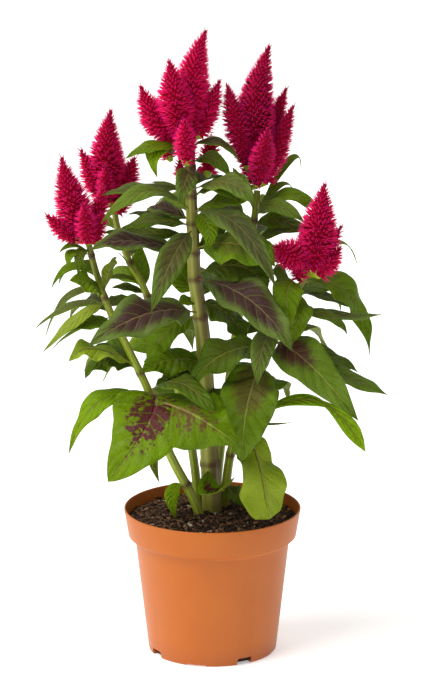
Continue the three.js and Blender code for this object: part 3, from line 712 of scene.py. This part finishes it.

# How fresh a look's green is, how purple its middle, how grey its wax and its painted sheen, how broken
# its purple and how far along the leaf the purple has its centre
leafLooks = {
    "green": (0.44, 0.05, 0.05, 0.3, 0.4),
    "fresh": (0.8, 0, 0, 0, 0.4),
    "lime": (1, 0.3, 0, 0.8, 0.62),
    "dark": (0.16, 0.2, 0.12, 0.2, 0.4),
    "grey": (0.34, 0.4, 0.6, 0.1, 0.45),
    "dusky": (0.3, 0.6, 0.5, 0.2, 0.45),
    "purple": (0.25, 1, 0.75, 0.15, 0.48),
    "ashen": (0.5, 0.15, 0.5, 0.3, 0.4),
    "smoky": (0.36, 0.6, 0.8, 0.2, 0.62),
    "olive": (0.42, 0.35, 0.15, 0.6, 0.5),
    "streaked": (0.36, 0.6, 0.15, 0.45, 0.3),
    "russet": (0.3, 0.95, 0.35, 0.35, 0.18),
    "faded": (1, 0.25, 0.3, 0.6, 0.3),
    "blotched": (0.64, 1, 0, 0.92, 0.48),
    "speckled": (0.3, 0.8, 0, 1.2, 0.5),
    "pale": (0.75, 0.3, 0, 0.6, 0.5),
}


def celosiaLeaf():
    # a living celosia leaf: waxy, satin, thin enough to glow, green with purple round its midrib
    material, add, shader, place = newMaterial("celosiaLeaf", {
        "IOR": 1.4, "Specular IOR Level": 0.14, "Subsurface Weight": 0.3, "Subsurface Scale": 0.0012,
        "Subsurface Radius": (0.6, 1, 0.15),
    })
    share, width, _ = add("SeparateXYZ", [add("UVMap", uv_map="blade")]).outputs
    across = add("Math", [width, 2, -1], **timesPlus)
    out = add("Math", [across], operation="ABSOLUTE")
    fresh, purple, grey = add("SeparateXYZ", [add("Attribute", attribute_name="look")]).outputs
    broken, under, chance = add("SeparateXYZ", [add("Attribute", attribute_name="skin")]).outputs
    cloud, ragged, pores = (
        add("TexNoise", [place, 1 / (size * mm), detail])
        for size, detail in ((9, 3), (3.2, 4), (0.5, 2))
    )
    cellGrid = [place, 1 / (2.6 * mm)]
    cells = add("TexVoronoi", cellGrid).outputs["Color"]
    cellTone = add("SeparateXYZ", [cells]).outputs["X"]
    net = add("TexVoronoi", cellGrid, feature="DISTANCE_TO_EDGE")
    netVein = add("MapRange", [net, 0.12, 0, 0, 0.25])

    # side veins leave the midrib at the same shares as the blade's own swellings, and sweep forward
    sweep = add("Math", [out, -leafMade["veinSweep"], share], **timesPlus)
    phase = add("Math", [sweep, leafMade["sideVeins"]], **times)
    fromVein = add("Math", [phase, 0.5], operation="PINGPONG")
    vein = add("MapRange", [fromVein, 0.075, 0.015, 0, 0.8], **smoothly)
    inside = add("MapRange", [out, 0.95, 0.6], **smoothly)
    sideVein = add("Math", [vein, inside], **times)
    midrib = add("MapRange", [out, 0.06, 0.02], **smoothly)
    veins = add("Math", [sideVein, midrib], operation="MAXIMUM")

    # the purple zone is an oval round the midrib with a ragged edge
    centre = add("Attribute", attribute_name="zone").outputs["Fac"]
    along = add("Math", [share, centre], operation="SUBTRACT")
    alongFar = add("Math", [along, 0.4], operation="DIVIDE")
    alongSquare = add("Math", [alongFar, alongFar], **times)
    outFar = add("Math", [out, 0.8], operation="DIVIDE")
    oval = add("Math", [outFar, outFar, alongSquare], **timesPlus)
    patchy = add("Math", [cellTone, ragged])
    rough = add("Math", [patchy, broken], **times)
    edge = add("Math", [rough, 0.9, oval], **timesPlus)
    soft = add("MapRange", [broken, 0, 0.7, 0.35])
    zone = add("MapRange", [edge, 1.45, soft], **smoothly)
    stained = add("Math", [zone, purple], **times)
    clear = add("Math", [sideVein, -0.6, 1], **timesPlus)
    stain = add("Math", [stained, clear], **times)

    green = add("Mix", [fresh, "#385200", "#8db004"])
    deep = add("Mix", [cloud, "#283c00", green])
    lively = add("Mix", [0.45, green, deep])
    # the grey stands for the leaf's wax together with a painted sheen, the soft light's reflection,
    # greying the whole leaf
    waxAndSheen = add("Math", [grey, 0.55], **times)
    dull = add("Mix", [waxAndSheen, lively, "#5d6243"])
    netted = add("Math", [veins, netVein], operation="MAXIMUM")
    veined = add("Math", [netted, 0.22], **times)
    lined = add("Mix", [veined, dull, "#9fae28"])
    # on a grey leaf the purple greys too, with the same painted sheen
    plum = add("Mix", [grey, "#5a2a28", "#342a26"])
    spotted = add("Mix", [stain, lined, plum])
    # the midrib stays pale; in the purple it turns tan, and pink on a fresh leaf
    young = add("MapRange", [fresh, 0.45, 0.6])
    ribRed = add("Mix", [young, "#86704f", "#7c3748"])
    ribTint = add("Mix", [stained, "#8f9140", ribRed])
    ribShow = add("Math", [midrib, 0.65], **times)
    upper = add("Mix", [ribShow, spotted, ribTint])
    below = add("Mix", [0.5, lined, "#99a332"])
    both = add("Mix", [under, upper, below])
    light = add("MapRange", [chance, 0, 1, 0.85, 1.15])
    varied = add("HueSaturation", {"Value": light, "Color": both})

    gloss = add("MapRange", [cloud, 0, 1, 0.34, 0.5])
    swell = add("Math", [fromVein, 0.5], operation="POWER")
    groove = add("Math", [midrib, -1, swell], **timesPlus)
    pucker = add("MapRange", [net, 0, 0.45, 0, 0.25], **smoothly)
    puckered = add("Math", [groove, pucker])
    skinHeight = add("Math", [pores, 0.06, puckered], **timesPlus)
    bump = add("Bump", {"Height": skinHeight, "Distance": 0.9 * mm})
    setInputs(shader, {"Base Color": varied, "Roughness": gloss, "Normal": bump})
    return material


def leafRib():
    # stalk and midrib: juicy, pale yellow green, reddish on purple leaves
    wet = {"Roughness": 0.4, "Subsurface Weight": 0.2, "Subsurface Scale": 0.001}
    material, add, shader, _ = newMaterial("leafRib", wet)
    fresh, purple, _ = add("SeparateXYZ", [add("Attribute", attribute_name="look")]).outputs
    young = add("MapRange", [fresh, 0.45, 0.6])
    red = add("Mix", [young, "#8d7248", "#8a4a50"])
    colour = add("Mix", [purple, "#8f9a35", red])
    setInputs(shader, {"Base Color": colour})
    return material


def bladeHalfWidth(share, wide, shape):
    # ovate, drawn out to a point by the taper
    stalk, flare, taper = shape["stalk"], shape["flare"], shape["taper"]
    if share <= stalk:
        return leafMade["stalkWidth"] / 2 * share / stalk
    s = (share - stalk) / (1 - stalk)
    widest = flare / (flare + taper)
    full = widest**flare * (1 - widest) ** taper
    outline = s**flare * (1 - s) ** taper / full
    return max(outline * wide / 2, (1 - s) * leafMade["stalkWidth"] / 2)


def growLeaf(root, row, draw):
    # one leaf: a thin blade, folded, waved and quilted, with a round rib under it
    p = leafMade
    over, tip, wide, lookName, *given = row[1:]
    shape = {**p["usual"], **(given[0] if given else {})}
    broad = min(1, wide / p["fullWidth"])
    tip = Vector(tip)
    point, direction = archOver(root, Vector(over), tip)
    outward = (tip - root).xy.to_3d().normalized()
    across = up.cross(outward)
    turn = copysign(radians(shape["face"]), outward.x)
    fold = radians(shape["fold"])
    chance, phase = draw.random(), draw.uniform(0, 2 * pi)
    twist = draw.uniform(-p["twist"], p["twist"])

    def frameAt(share):
        along = direction(share)
        side = (across - along * across.dot(along)).normalized()
        side = Matrix.Rotation(turn + twist * share, 3, along) @ side
        return point(share), side, along.cross(side)

    bm = bmesh.new()
    look = bm.verts.layers.float_vector.new("look")
    skin = bm.verts.layers.float_vector.new("skin")
    zone = bm.verts.layers.float.new("zone")
    uvs = bm.loops.layers.uv.new("blade")
    rows, columns = next(size[1:] for size in p["grids"] if wide < size[0])
    bmesh.ops.create_grid(bm, x_segments=rows, y_segments=columns, size=1)
    for f in bm.faces:
        for loop in f.loops:
            loop[uvs].uv = (loop.vert.co.x / 2 + 0.5, loop.vert.co.y / 2 + 0.5)
    for v in bm.verts:
        share, u = v.co.x / 2 + 0.5, v.co.y
        centre, side, normal = frameAt(share)
        half = bladeHalfWidth(share, wide, shape)
        fromStalk = max(0, share - shape["stalk"])
        grown = min(1, fromStalk / p["calmFoot"], (1 - share) / p["calmTip"])
        wave = shape["wave"] * wide * broad * sin(2 * pi * p["waves"] * share + u)
        ripple = p["ripple"] * wide * broad * sin(p["rippleTurn"] * share + phase + 2 * u) * u * u
        fromVein = abs(((share - p["veinSweep"] * abs(u)) * p["sideVeins"]) % 1 - 0.5)
        quilt = shape["quilting"] * (1 - 4 * fromVein**2) * broad * (1 - u * u)
        droop = copysign(p["droop"], fold) * u * u
        curve = half * (sin(fold) * abs(u) - droop)
        rise = curve + grown * (wave * abs(u) + ripple + quilt)
        v.co = centre + side * (u * half * cos(fold)) + normal * rise
    bmesh.ops.remove_doubles(bm, verts=bm.verts, dist=0.01)
    upper = {tuple(v.co) for v in bm.verts}
    bmesh.ops.solidify(bm, geom=bm.faces, thickness=p["thickness"])
    fresh, purple, grey, broken, centre = leafLooks[lookName]
    for v in bm.verts:
        v[look] = (fresh, purple, grey)
        v[skin] = (broken, 0 if tuple(v.co) in upper else 1, chance)
        v[zone] = centre

    def placeRib(v, share, angle):
        share *= p["ribLength"]
        centre, side, normal = frameAt(share)
        radius = p["ribRadius"] * (0.55 + wide / 60) * (1 - 0.75 * share)
        below = radius * 0.45 * min(1, share / 0.12)  # it sinks under the blade past the stalk
        v.co = centre + side * (radius * cos(angle))
        v.co += normal * (radius * sin(angle) - below)
        v[look] = (fresh, purple, grey)

    blade = len(bm.faces)
    bentTube(bm, 14, 6, placeRib)
    bm.faces.ensure_lookup_table()
    for f in bm.faces[blade:]:
        f.material_index = 1
    return bm


def evenPoints(path, count):
    # points at even lengths along a stem's curve
    points = [Vector(p) for p in path]
    fine = [stemPoint(points, k / 400) for k in range(401)]
    run = [0]
    for a, b in zip(fine, fine[1:]):
        run.append(run[-1] + (b - a).length)
    made, k = [], 0
    for step in range(count + 1):
        want = run[-1] * step / count
        while k < 399 and run[k + 1] < want:
            k += 1
        made.append(fine[k].lerp(fine[k + 1], (want - run[k]) / (run[k + 1] - run[k])))
    return made


stalkMade = {
    "seed": 40,  # of the leaves' own chances
    "steps": 160,
    "sides": 30,
    "ribs": 7,
    "ribHeight": 0.07,  # as a share of the radius
    "knot": 0.14,  # how far a node stands out, as a share of the radius
    "knotGap": 17,  # least height between two nodes
    "knotLength": 1.8,
    "shadedSide": 0.6,  # radians round from the left, of the side where shade is painted
    "stretch": 17,  # how far the brown comes and goes
    "ripeFrom": 0.7,  # share of the height above which a young stem turns brown
}


def greenStalk():
    # celosia stem: fleshy and ribbed, pale green to tan, reddish brown at its nodes, with brown painted
    # down one side as shade
    material, add, shader, place = newMaterial("greenStalk", {
        "Roughness": 0.42, "IOR": 1.42, "Subsurface Weight": 0.15, "Subsurface Scale": 0.002,
    })
    # the knot mark carries the nodes, the painted shade down one side and the brown top of a young stem
    rib, knot, age = add("SeparateXYZ", [add("Attribute", attribute_name="stalk")]).outputs
    streaked = add("Mapping", {"Vector": place, "Scale": (1, 1, 0.08)})
    streaks = add("TexNoise", [streaked, 1 / (1.4 * mm), 3])
    cloud = add("TexNoise", [place, 1 / (14 * mm), 2])
    young = add("Mix", [cloud, "#8ba60c", "#bcd23a"])
    old = add("Mix", [streaks, "#99923a", "#d0c774"])
    green = add("Mix", [age, young, old])
    groove = add("Math", [rib, 0.5], **times)
    lined = add("Mix", [groove, green, "#788418"])
    brown = add("MapRange", [streaks, 0.55, 0.8, 0, 0.3])
    streaky = add("Mix", [brown, lined, "#64441f"])
    # brown at the nodes, with the painted shade down one side and the young stems' brown tops
    knotsAndShade = add("Mix", [knot, streaky, "#573719"])
    bump = add("Bump", {"Height": streaks, "Distance": 0.25 * mm})
    setInputs(shader, {"Base Color": knotsAndShade, "Normal": bump})
    return material


def growStalk(bm, side):
    # a stem's ribbed tube, swollen at the heights where leaves join
    p, stem = stalkMade, stems[side]
    age = stem["age"]
    line = evenPoints(stem["path"], p["steps"])
    heights = []
    for height in sorted(row[0] for row in leafRows[side]):
        if not heights or height > heights[-1] + p["knotGap"]:
            heights.append(height)
    mark = bm.verts.layers.float_vector.new("stalk")

    def place(v, share, angle):
        spot = min(int(share * p["steps"]), p["steps"] - 1)
        centre = line[spot].lerp(line[spot + 1], share * p["steps"] - spot)
        rib = cos(p["ribs"] * angle)
        near = min(abs(centre.z - h) for h in heights) / p["knotLength"]
        knot = exp(-near * near)
        radius = stem["foot"] + (stem["top"] - stem["foot"]) * share
        radius *= 1 + p["ribHeight"] * rib + p["knot"] * knot
        v.co = ringPoint(centre, (line[spot + 1] - line[spot]).normalized(), radius, angle)
        # painted shade: brown runs down the stem's right side, away from the key light, in stretches;
        # and real brown goes over the top of a young stem
        sideShade = min(1, max(0, 2.4 * cos(angle + p["shadedSide"]) - 1.1)) * (0.3 + 0.7 * age)
        sideShade *= 0.8 + 0.2 * sin(centre.z / p["stretch"])
        ripe = max(0, share - p["ripeFrom"]) * (1 - age)
        v[mark] = (0.5 - rib / 2, min(1, knot * 0.8 + sideShade + 1.2 * ripe), age)

    bentTube(bm, p["steps"], p["sides"], place)


def addStems():
    leafSkins = [celosiaLeaf(), leafRib()]
    stalkSkin = greenStalk()
    for number, (side, stem) in enumerate(stems.items()):
        draw = random.Random(number + stalkMade["seed"])
        bm = bmesh.new()
        growStalk(bm, side)
        stalk = addPiece(side + "Stalk", inMetres(bm), [stalkSkin], [side + "_stem"])
        stalk.data.shade_smooth()
        line = evenPoints(stem["path"], 200)
        roots = [next((p for p in line if p.z >= row[0]), line[-1]) for row in leafRows[side]]
        bm = joinParts(growLeaf(root, row, draw) for root, row in zip(roots, leafRows[side]))
        leaves = addPiece(side + "Leaves", bm, leafSkins, [side + "_stem"])
        leaves.data.shade_smooth()
        print(side, "stem grown,", len(leaves.data.polygons), "faces of leaves")


# The heads: spikes of florets that branch from the top of each stem. A spike has its base, its
# tip, its width and, if it bends, the point that it passes over.
heads = {
    "left": [
        ((-84, -16, 292), (-99, -18, 346), 24, (-93, -17, 317)),
        ((-90, -18, 290), (-109, -24, 308), 15),
        ((-80, -10, 290), (-72, -4, 323), 15),
        ((-82, -24, 290), (-84, -34, 317), 15),
        ((-79, -18, 288), (-73, -24, 309), 12),
        ((-84, -6, 290), (-88, 8, 311), 14),
    ],
    "backLeft": [
        ((-68, 24, 304), (-67.5, 20, 370), 25, (-71, 22, 338)),
        ((-71, 22, 306), (-88, 20, 343), 18),
        ((-63, 26, 307), (-52, 30, 336), 18),
        ((-71, 14, 308), (-71, 6, 335), 13),
        ((-63, 19, 300), (-56, 13, 314), 10),
        ((-66, 32, 304), (-62, 46, 337), 15),
    ],
    "main": [
        ((-13, 4, 355), (-4, 2, 427), 26, (-13.5, 3, 392)),
        ((-21, -4, 358), (-28, -11, 409), 25),
        ((-24, 0, 355), (-47, -4, 391), 22, (-38, -2, 370)),
        ((-9, 3, 356), (5, 4, 393), 17),
        ((-15, 12, 357), (-18, 34, 388), 17),
    ],
    "backRight": [
        ((30, 15, 322), (38, 12, 415), 28, (28.5, 13, 372)),
        ((24, 10, 335), (10, 4, 390), 19, (16, 6, 365)),
        ((34, 20, 344), (49.5, 26, 384), 15),
        ((34, 14, 322), (54, 16, 374), 18),
        ((30, 3, 324), (37, -12, 363), 17),
        ((23, 10, 318), (16, 4, 328), 9),
        ((31, 24, 330), (29, 46, 372), 17),
    ],
    "right": [
        ((67, -14, 268), (74, -18, 328), 26),
        ((62, -12, 274), (42, -28, 288), 22),
        ((58, -14, 262), (56, -20, 277), 10),
        ((74, -9, 276), (86, -6, 297), 9),
        ((70, -18, 266), (85, -16, 284), 17),
        ((66, -5, 266), (63, 12, 293), 16),
    ],
}
sideBlooms = {
    "front": ((-17, -17, 343), (-18, -25, 372), 16),
    "lowLeft": ((-28, 10, 339), (-35, 14, 352), 12),
    "lowRight": ((-3, 11, 329), (0, 15, 353), 15),
    "lowest": ((-22, 15, 325), (-21, 15, 338), 8),
}

plumeMade = {
    "seed": 60,
    "belly": 0.33,  # share of a spike's length where it is widest
    "foot": 0.6,  # its width at the base, as a share of the widest
    "core": 0.6,  # radius of the solid core, as a share of the spike's
    "coreGrows": 0.2,  # how much more that is at the tip
    "coreLeast": 0.9,  # mm
    "stalkRadius": 1.3,
    "stalkWidens": 0.16,  # by this share of a spike's width, up to its foot
    "ballRise": 2.5,  # mm from a stem's top to the joint of its spikes
    "bloomStalk": 0.12,  # length of a side bloom's stalk, as a share of the bloom
    "spacing": 3,  # mm from one floret to the next, at their points
    # how dark the heart of a head's florets is painted: painted shade for the inside of a head, darkest
    # on the back right one
    "depth": {"main": 0, "left": 0.45, "backLeft": 0.4, "right": 0.4, "backRight": 1},
    "tepals": 3,
    "tepalLength": 8.4,
    "tepalWidth": 1.4,
    "tepalThickness": 0.8,
    "tepalBelly": 0.3,  # where a tepal is widest, as a share of its length
    "spread": 7,  # degrees that the tepals of a floret open
    "sizes": (0.78, 1.2),  # of the florets, drawn between these
    "tipSize": 0.42,  # size of the florets at the tip
    # degrees that a floret leans towards the spike's tip: at the foot, near the tip and at the tip
    "lean": (2, 42, 76),
    "nearTip": 0.85,  # share of the spike's length
    "leanVaries": 11,  # degrees either way
}


def chaffyFloret():
    # celosia florets: dry, papery tepals with a silky gloss, crimson at heart and pink at the points;
    # the dark hearts are partly painted shade and the bright points partly painted light shining through
    # them
    material, add, shader, _ = newMaterial("chaffyFloret", {
        "Roughness": 0.6, "Specular IOR Level": 0.2, "Subsurface Weight": 0.6, "Subsurface Scale": 0.002,
        "Subsurface Radius": (1, 0.02, 0.12),
    })
    outward, chance, share = add("SeparateXYZ", [add("Attribute", attribute_name="floret")]).outputs
    # the head's painted shade: it darkens the florets' hearts, makes their bright colour start later and
    # takes pink off their points
    depth = add("Attribute", attribute_name="depth").outputs["Fac"]
    shadedHeart = add("Mix", [depth, "#b20034", "#38000c"])
    start = add("MapRange", [depth, 0, 1, 0.3, 0.42])
    # painted light and shade along each tepal: dark at its foot, where shade falls between florets,
    # bright towards its point as if lit through
    lit = add("MapRange", [outward, start, 0.95])
    body = add("Mix", [lit, shadedHeart, "#fb046c"])
    shaded = add("Math", [depth, -0.4, chance], **timesPlus)
    rosy = add("MapRange", [shaded, 0.1, 1, 0, 0.8])
    # pinker points on some florets: partly their own colour, partly painted light shining through the
    # points
    pointed = add("MapRange", [outward, 0.7, 0.95])
    pinker = add("Math", [rosy, pointed], **times)
    pink = add("Mix", [pinker, body, "#ff3488"])
    bud = add("MapRange", [share, 0.9, 1, 0, 0.5])
    dark = add("Mix", [bud, pink, "#8a1030"])
    setInputs(shader, {"Base Color": dark})
    return material


def spikeCore():
    # what shows between the florets: the spike's fleshy axis, deep crimson
    dull = {"Roughness": 0.9, "Specular IOR Level": 0.1}
    material, add, shader, place = newMaterial("spikeCore", dull)
    grain = add("TexNoise", [place, 1 / (1.2 * mm), 2])
    colour = add("Mix", [grain, "#74001a", "#9c002e"])
    setInputs(shader, {"Base Color": colour})
    return material


def spikeRadius(share, wide):
    # a flame's outline: it swells up to its belly, then closes to the tip
    belly, foot = plumeMade["belly"], plumeMade["foot"]
    past = max(0, share - belly) / (1 - belly)
    return wide / 2 * min(1, foot + (1 - foot) * share / belly) * (1 - past**1.6)


def newFloret(bm, outward):
    # one floret, pointing up: spindle-shaped tepals round its middle; gives its geometry
    p = plumeMade
    starts = [len(kind) for kind in (bm.verts, bm.edges, bm.faces)]
    verts = bmesh.ops.create_uvsphere(bm, u_segments=4, v_segments=2, radius=1)["verts"]
    for v in verts:
        swell = abs(v.co.z) < 0.5
        height = p["tepalBelly"] if swell else (v.co.z + 1) / 2
        v.co.x *= p["tepalWidth"] / 2 * swell
        v.co.y *= p["tepalThickness"] / 2 * swell
        v.co.z = height * p["tepalLength"]
        v[outward] = (height, 0, 0)
    tilt = Matrix.Rotation(radians(p["spread"]), 3, "X")
    bmesh.ops.rotate(bm, verts=verts, matrix=tilt)
    edges = {e for v in verts for e in v.link_edges}
    faces = {f for v in verts for f in v.link_faces}
    more = p["tepals"] - 1
    spun = {"axis": (0, 0, 1), "angle": 2 * pi * more / p["tepals"], "steps": more}
    bmesh.ops.spin(bm, geom=[*verts, *edges, *faces], use_duplicate=True, **spun)
    geom = []
    for kind, start in zip((bm.verts, bm.edges, bm.faces), starts):
        kind.ensure_lookup_table()
        geom += kind[start:]
    return geom


def growSpike(joint, row, draw, depth=0):
    # a spike: its core, its stalk and florets set round it by the golden angle
    p = plumeMade
    base, tip, wide, *bend = row
    foot, top = Vector(base), Vector(tip)
    point, direction = archOver(foot, Vector(bend[0]) if bend else foot.lerp(top, 0.5), top)
    length = sum((point(k / 20) - point((k + 1) / 20)).length for k in range(20))
    bm = bmesh.new()
    bm.verts.layers.float_vector.new("stalk")
    mark = bm.verts.layers.float_vector.new("floret")
    # the head's painted shade, on every point of its spikes
    shade = bm.verts.layers.float.new("depth")

    def placeCore(v, share, angle):
        full = p["core"] + p["coreGrows"] * share
        radius = max(full * spikeRadius(share, wide), p["coreLeast"])
        v.co = ringPoint(point(share), direction(share), radius, angle)

    def placeStalk(v, share, angle):
        centre = joint.lerp(foot + direction(0) * 2, share)
        radius = p["stalkRadius"] + share * (wide * p["stalkWidens"])
        v.co = ringPoint(centre, (foot - joint).normalized(), radius, angle)

    bentTube(bm, 16, 16, placeCore)
    core = len(bm.faces)
    bentTube(bm, 6, 12, placeStalk)
    for number, f in enumerate(bm.faces):
        f.material_index = 1 if number < core else 2
    floret = newFloret(bm, mark)
    low, high, end = p["lean"]
    near, varies, small = p["nearTip"], p["leanVaries"], p["tipSize"]
    share, angle = 0.015, draw.uniform(0, 2 * pi)
    while share < 1:
        radius = max(1, spikeRadius(share, wide))
        spot = min(share, 0.999)
        along = direction(spot)
        out = ringPoint(Vector(), along, 1, angle)
        lean = low + (high - low) * share / near
        if share > near:
            lean = high + (end - high) * (share - near) / (1 - near)
        lean = radians(lean + draw.uniform(-varies, varies))
        axis = out * cos(lean) + along * sin(lean)
        size = (small + (1 - small) * min(1, (1 - share) / 0.5)) * draw.uniform(*p["sizes"])
        size *= min(1, 0.6 + wide / 40)
        opened = size * (1.2 - 0.35 * share)  # the lower florets are open wider
        turn = axis.to_track_quat("Z", "Y").to_matrix().to_4x4()
        spin = Matrix.Rotation(draw.uniform(0, 2 * pi), 4, "Z")
        scale = Matrix.Diagonal((opened, opened, size, 1))
        reach = max(0, radius + 1.5 * size - size * p["tepalLength"] * cos(lean))
        place = Matrix.Translation(point(spot) + out * reach) @ turn @ spin @ scale
        chance = draw.random()
        made = bmesh.ops.duplicate(bm, geom=floret)["geom"]
        verts = vertsOf(made)
        bmesh.ops.transform(bm, matrix=place, verts=verts)
        for v in verts:
            v[mark] = (v[mark].x, chance, share)
            v[shade] = depth
        angle += pi * (3 - sqrt(5))
        share += (p["spacing"] * (0.35 + 0.65 * size)) ** 2 / (2 * pi * radius * length)
    bmesh.ops.delete(bm, geom=vertsOf(floret), context="VERTS")
    return bm


def addPlumes():
    skins = [chaffyFloret(), spikeCore(), bpy.data.materials["greenStalk"]]

    def finishPlume(name, spikes, node):
        piece = addPiece(name, joinParts(spikes), skins, [node])
        piece.data.shade_smooth()
        print(name, "grown,", len(piece.data.polygons), "faces")

    for number, (side, rows) in enumerate(heads.items()):
        draw = random.Random(plumeMade["seed"] + number)
        joint = Vector(stems[side]["path"][-1]) + up * plumeMade["ballRise"]
        # painted shade for this head's florets
        depth = plumeMade["depth"][side]
        spikes = (growSpike(joint, row, draw, depth) for row in rows)
        finishPlume(side + "Plume", spikes, side + "_head")
    for number, (place, row) in enumerate(sideBlooms.items()):
        draw = random.Random(plumeMade["seed"] + 10 + number)
        joint = Vector(row[0]).lerp(Vector(row[1]), -plumeMade["bloomStalk"])
        finishPlume(place + "Bloom", [growSpike(joint, row, draw)], place + "_bloom")


# The studio: a pale floor, an even white surround, and broad soft lights: the brightest from the
# left and above, a weak one from the right and one from behind. Each has its bearing from the
# front towards the right and its height, in degrees, its strength and its spread.
studio = {
    "floorRadius": 14,  # metres
    "surround": 0.34,
    "lights": {
        "key": (-64, 48, 3.1, 50),
        "fill": (45, 30, 0.06, 70),
        "back": (165, 55, 0.8, 60),
    },
}


def opalAcrylic():
    # opal acrylic, lit a little from below: white, matt, with hardly a shadow
    material, add, shader, place = newMaterial("opalAcrylic", {
        "Roughness": 0.8, "Emission Strength": 0.38, "Emission Color": "#ffffff",
    })
    cloud = add("TexNoise", [place, 1 / (400 * mm), 2])
    colour = add("Mix", [cloud, "#f4f3f1", "#fafaf9"])
    setInputs(shader, {"Base Color": colour})
    return material


def addStudio():
    bm = bmesh.new()
    bmesh.ops.create_circle(bm, cap_ends=True, segments=96, radius=studio["floorRadius"])
    floor = addObject("floor", meshFrom("floor", bm))
    floor.data.materials.append(opalAcrylic())
    for name, (bearing, height, strength, spread) in studio["lights"].items():
        light = addObject(name, bpy.data.lights.new(name, "SUN"))
        light.data.energy = strength
        light.data.angle = radians(spread)
        bearing, height = radians(bearing), radians(height)
        level = cos(height)
        comesFrom = Vector((sin(bearing) * level, -cos(bearing) * level, sin(height)))
        light.location = comesFrom * 2
        light.rotation_euler = comesFrom.to_track_quat("Z", "Y").to_euler()
    world = bpy.data.worlds.new("surround")
    world.use_nodes = True
    background = world.node_tree.nodes["Background"]
    setInputs(background, {"Color": "#ffffff", "Strength": studio["surround"]})
    bpy.context.scene.world = world
    bpy.context.scene.view_settings.view_transform = "Standard"


addPot()
print("pot made")
addSoil()
print("soil laid")
addStems()
addPlumes()
addStudio()
print("studio lit")
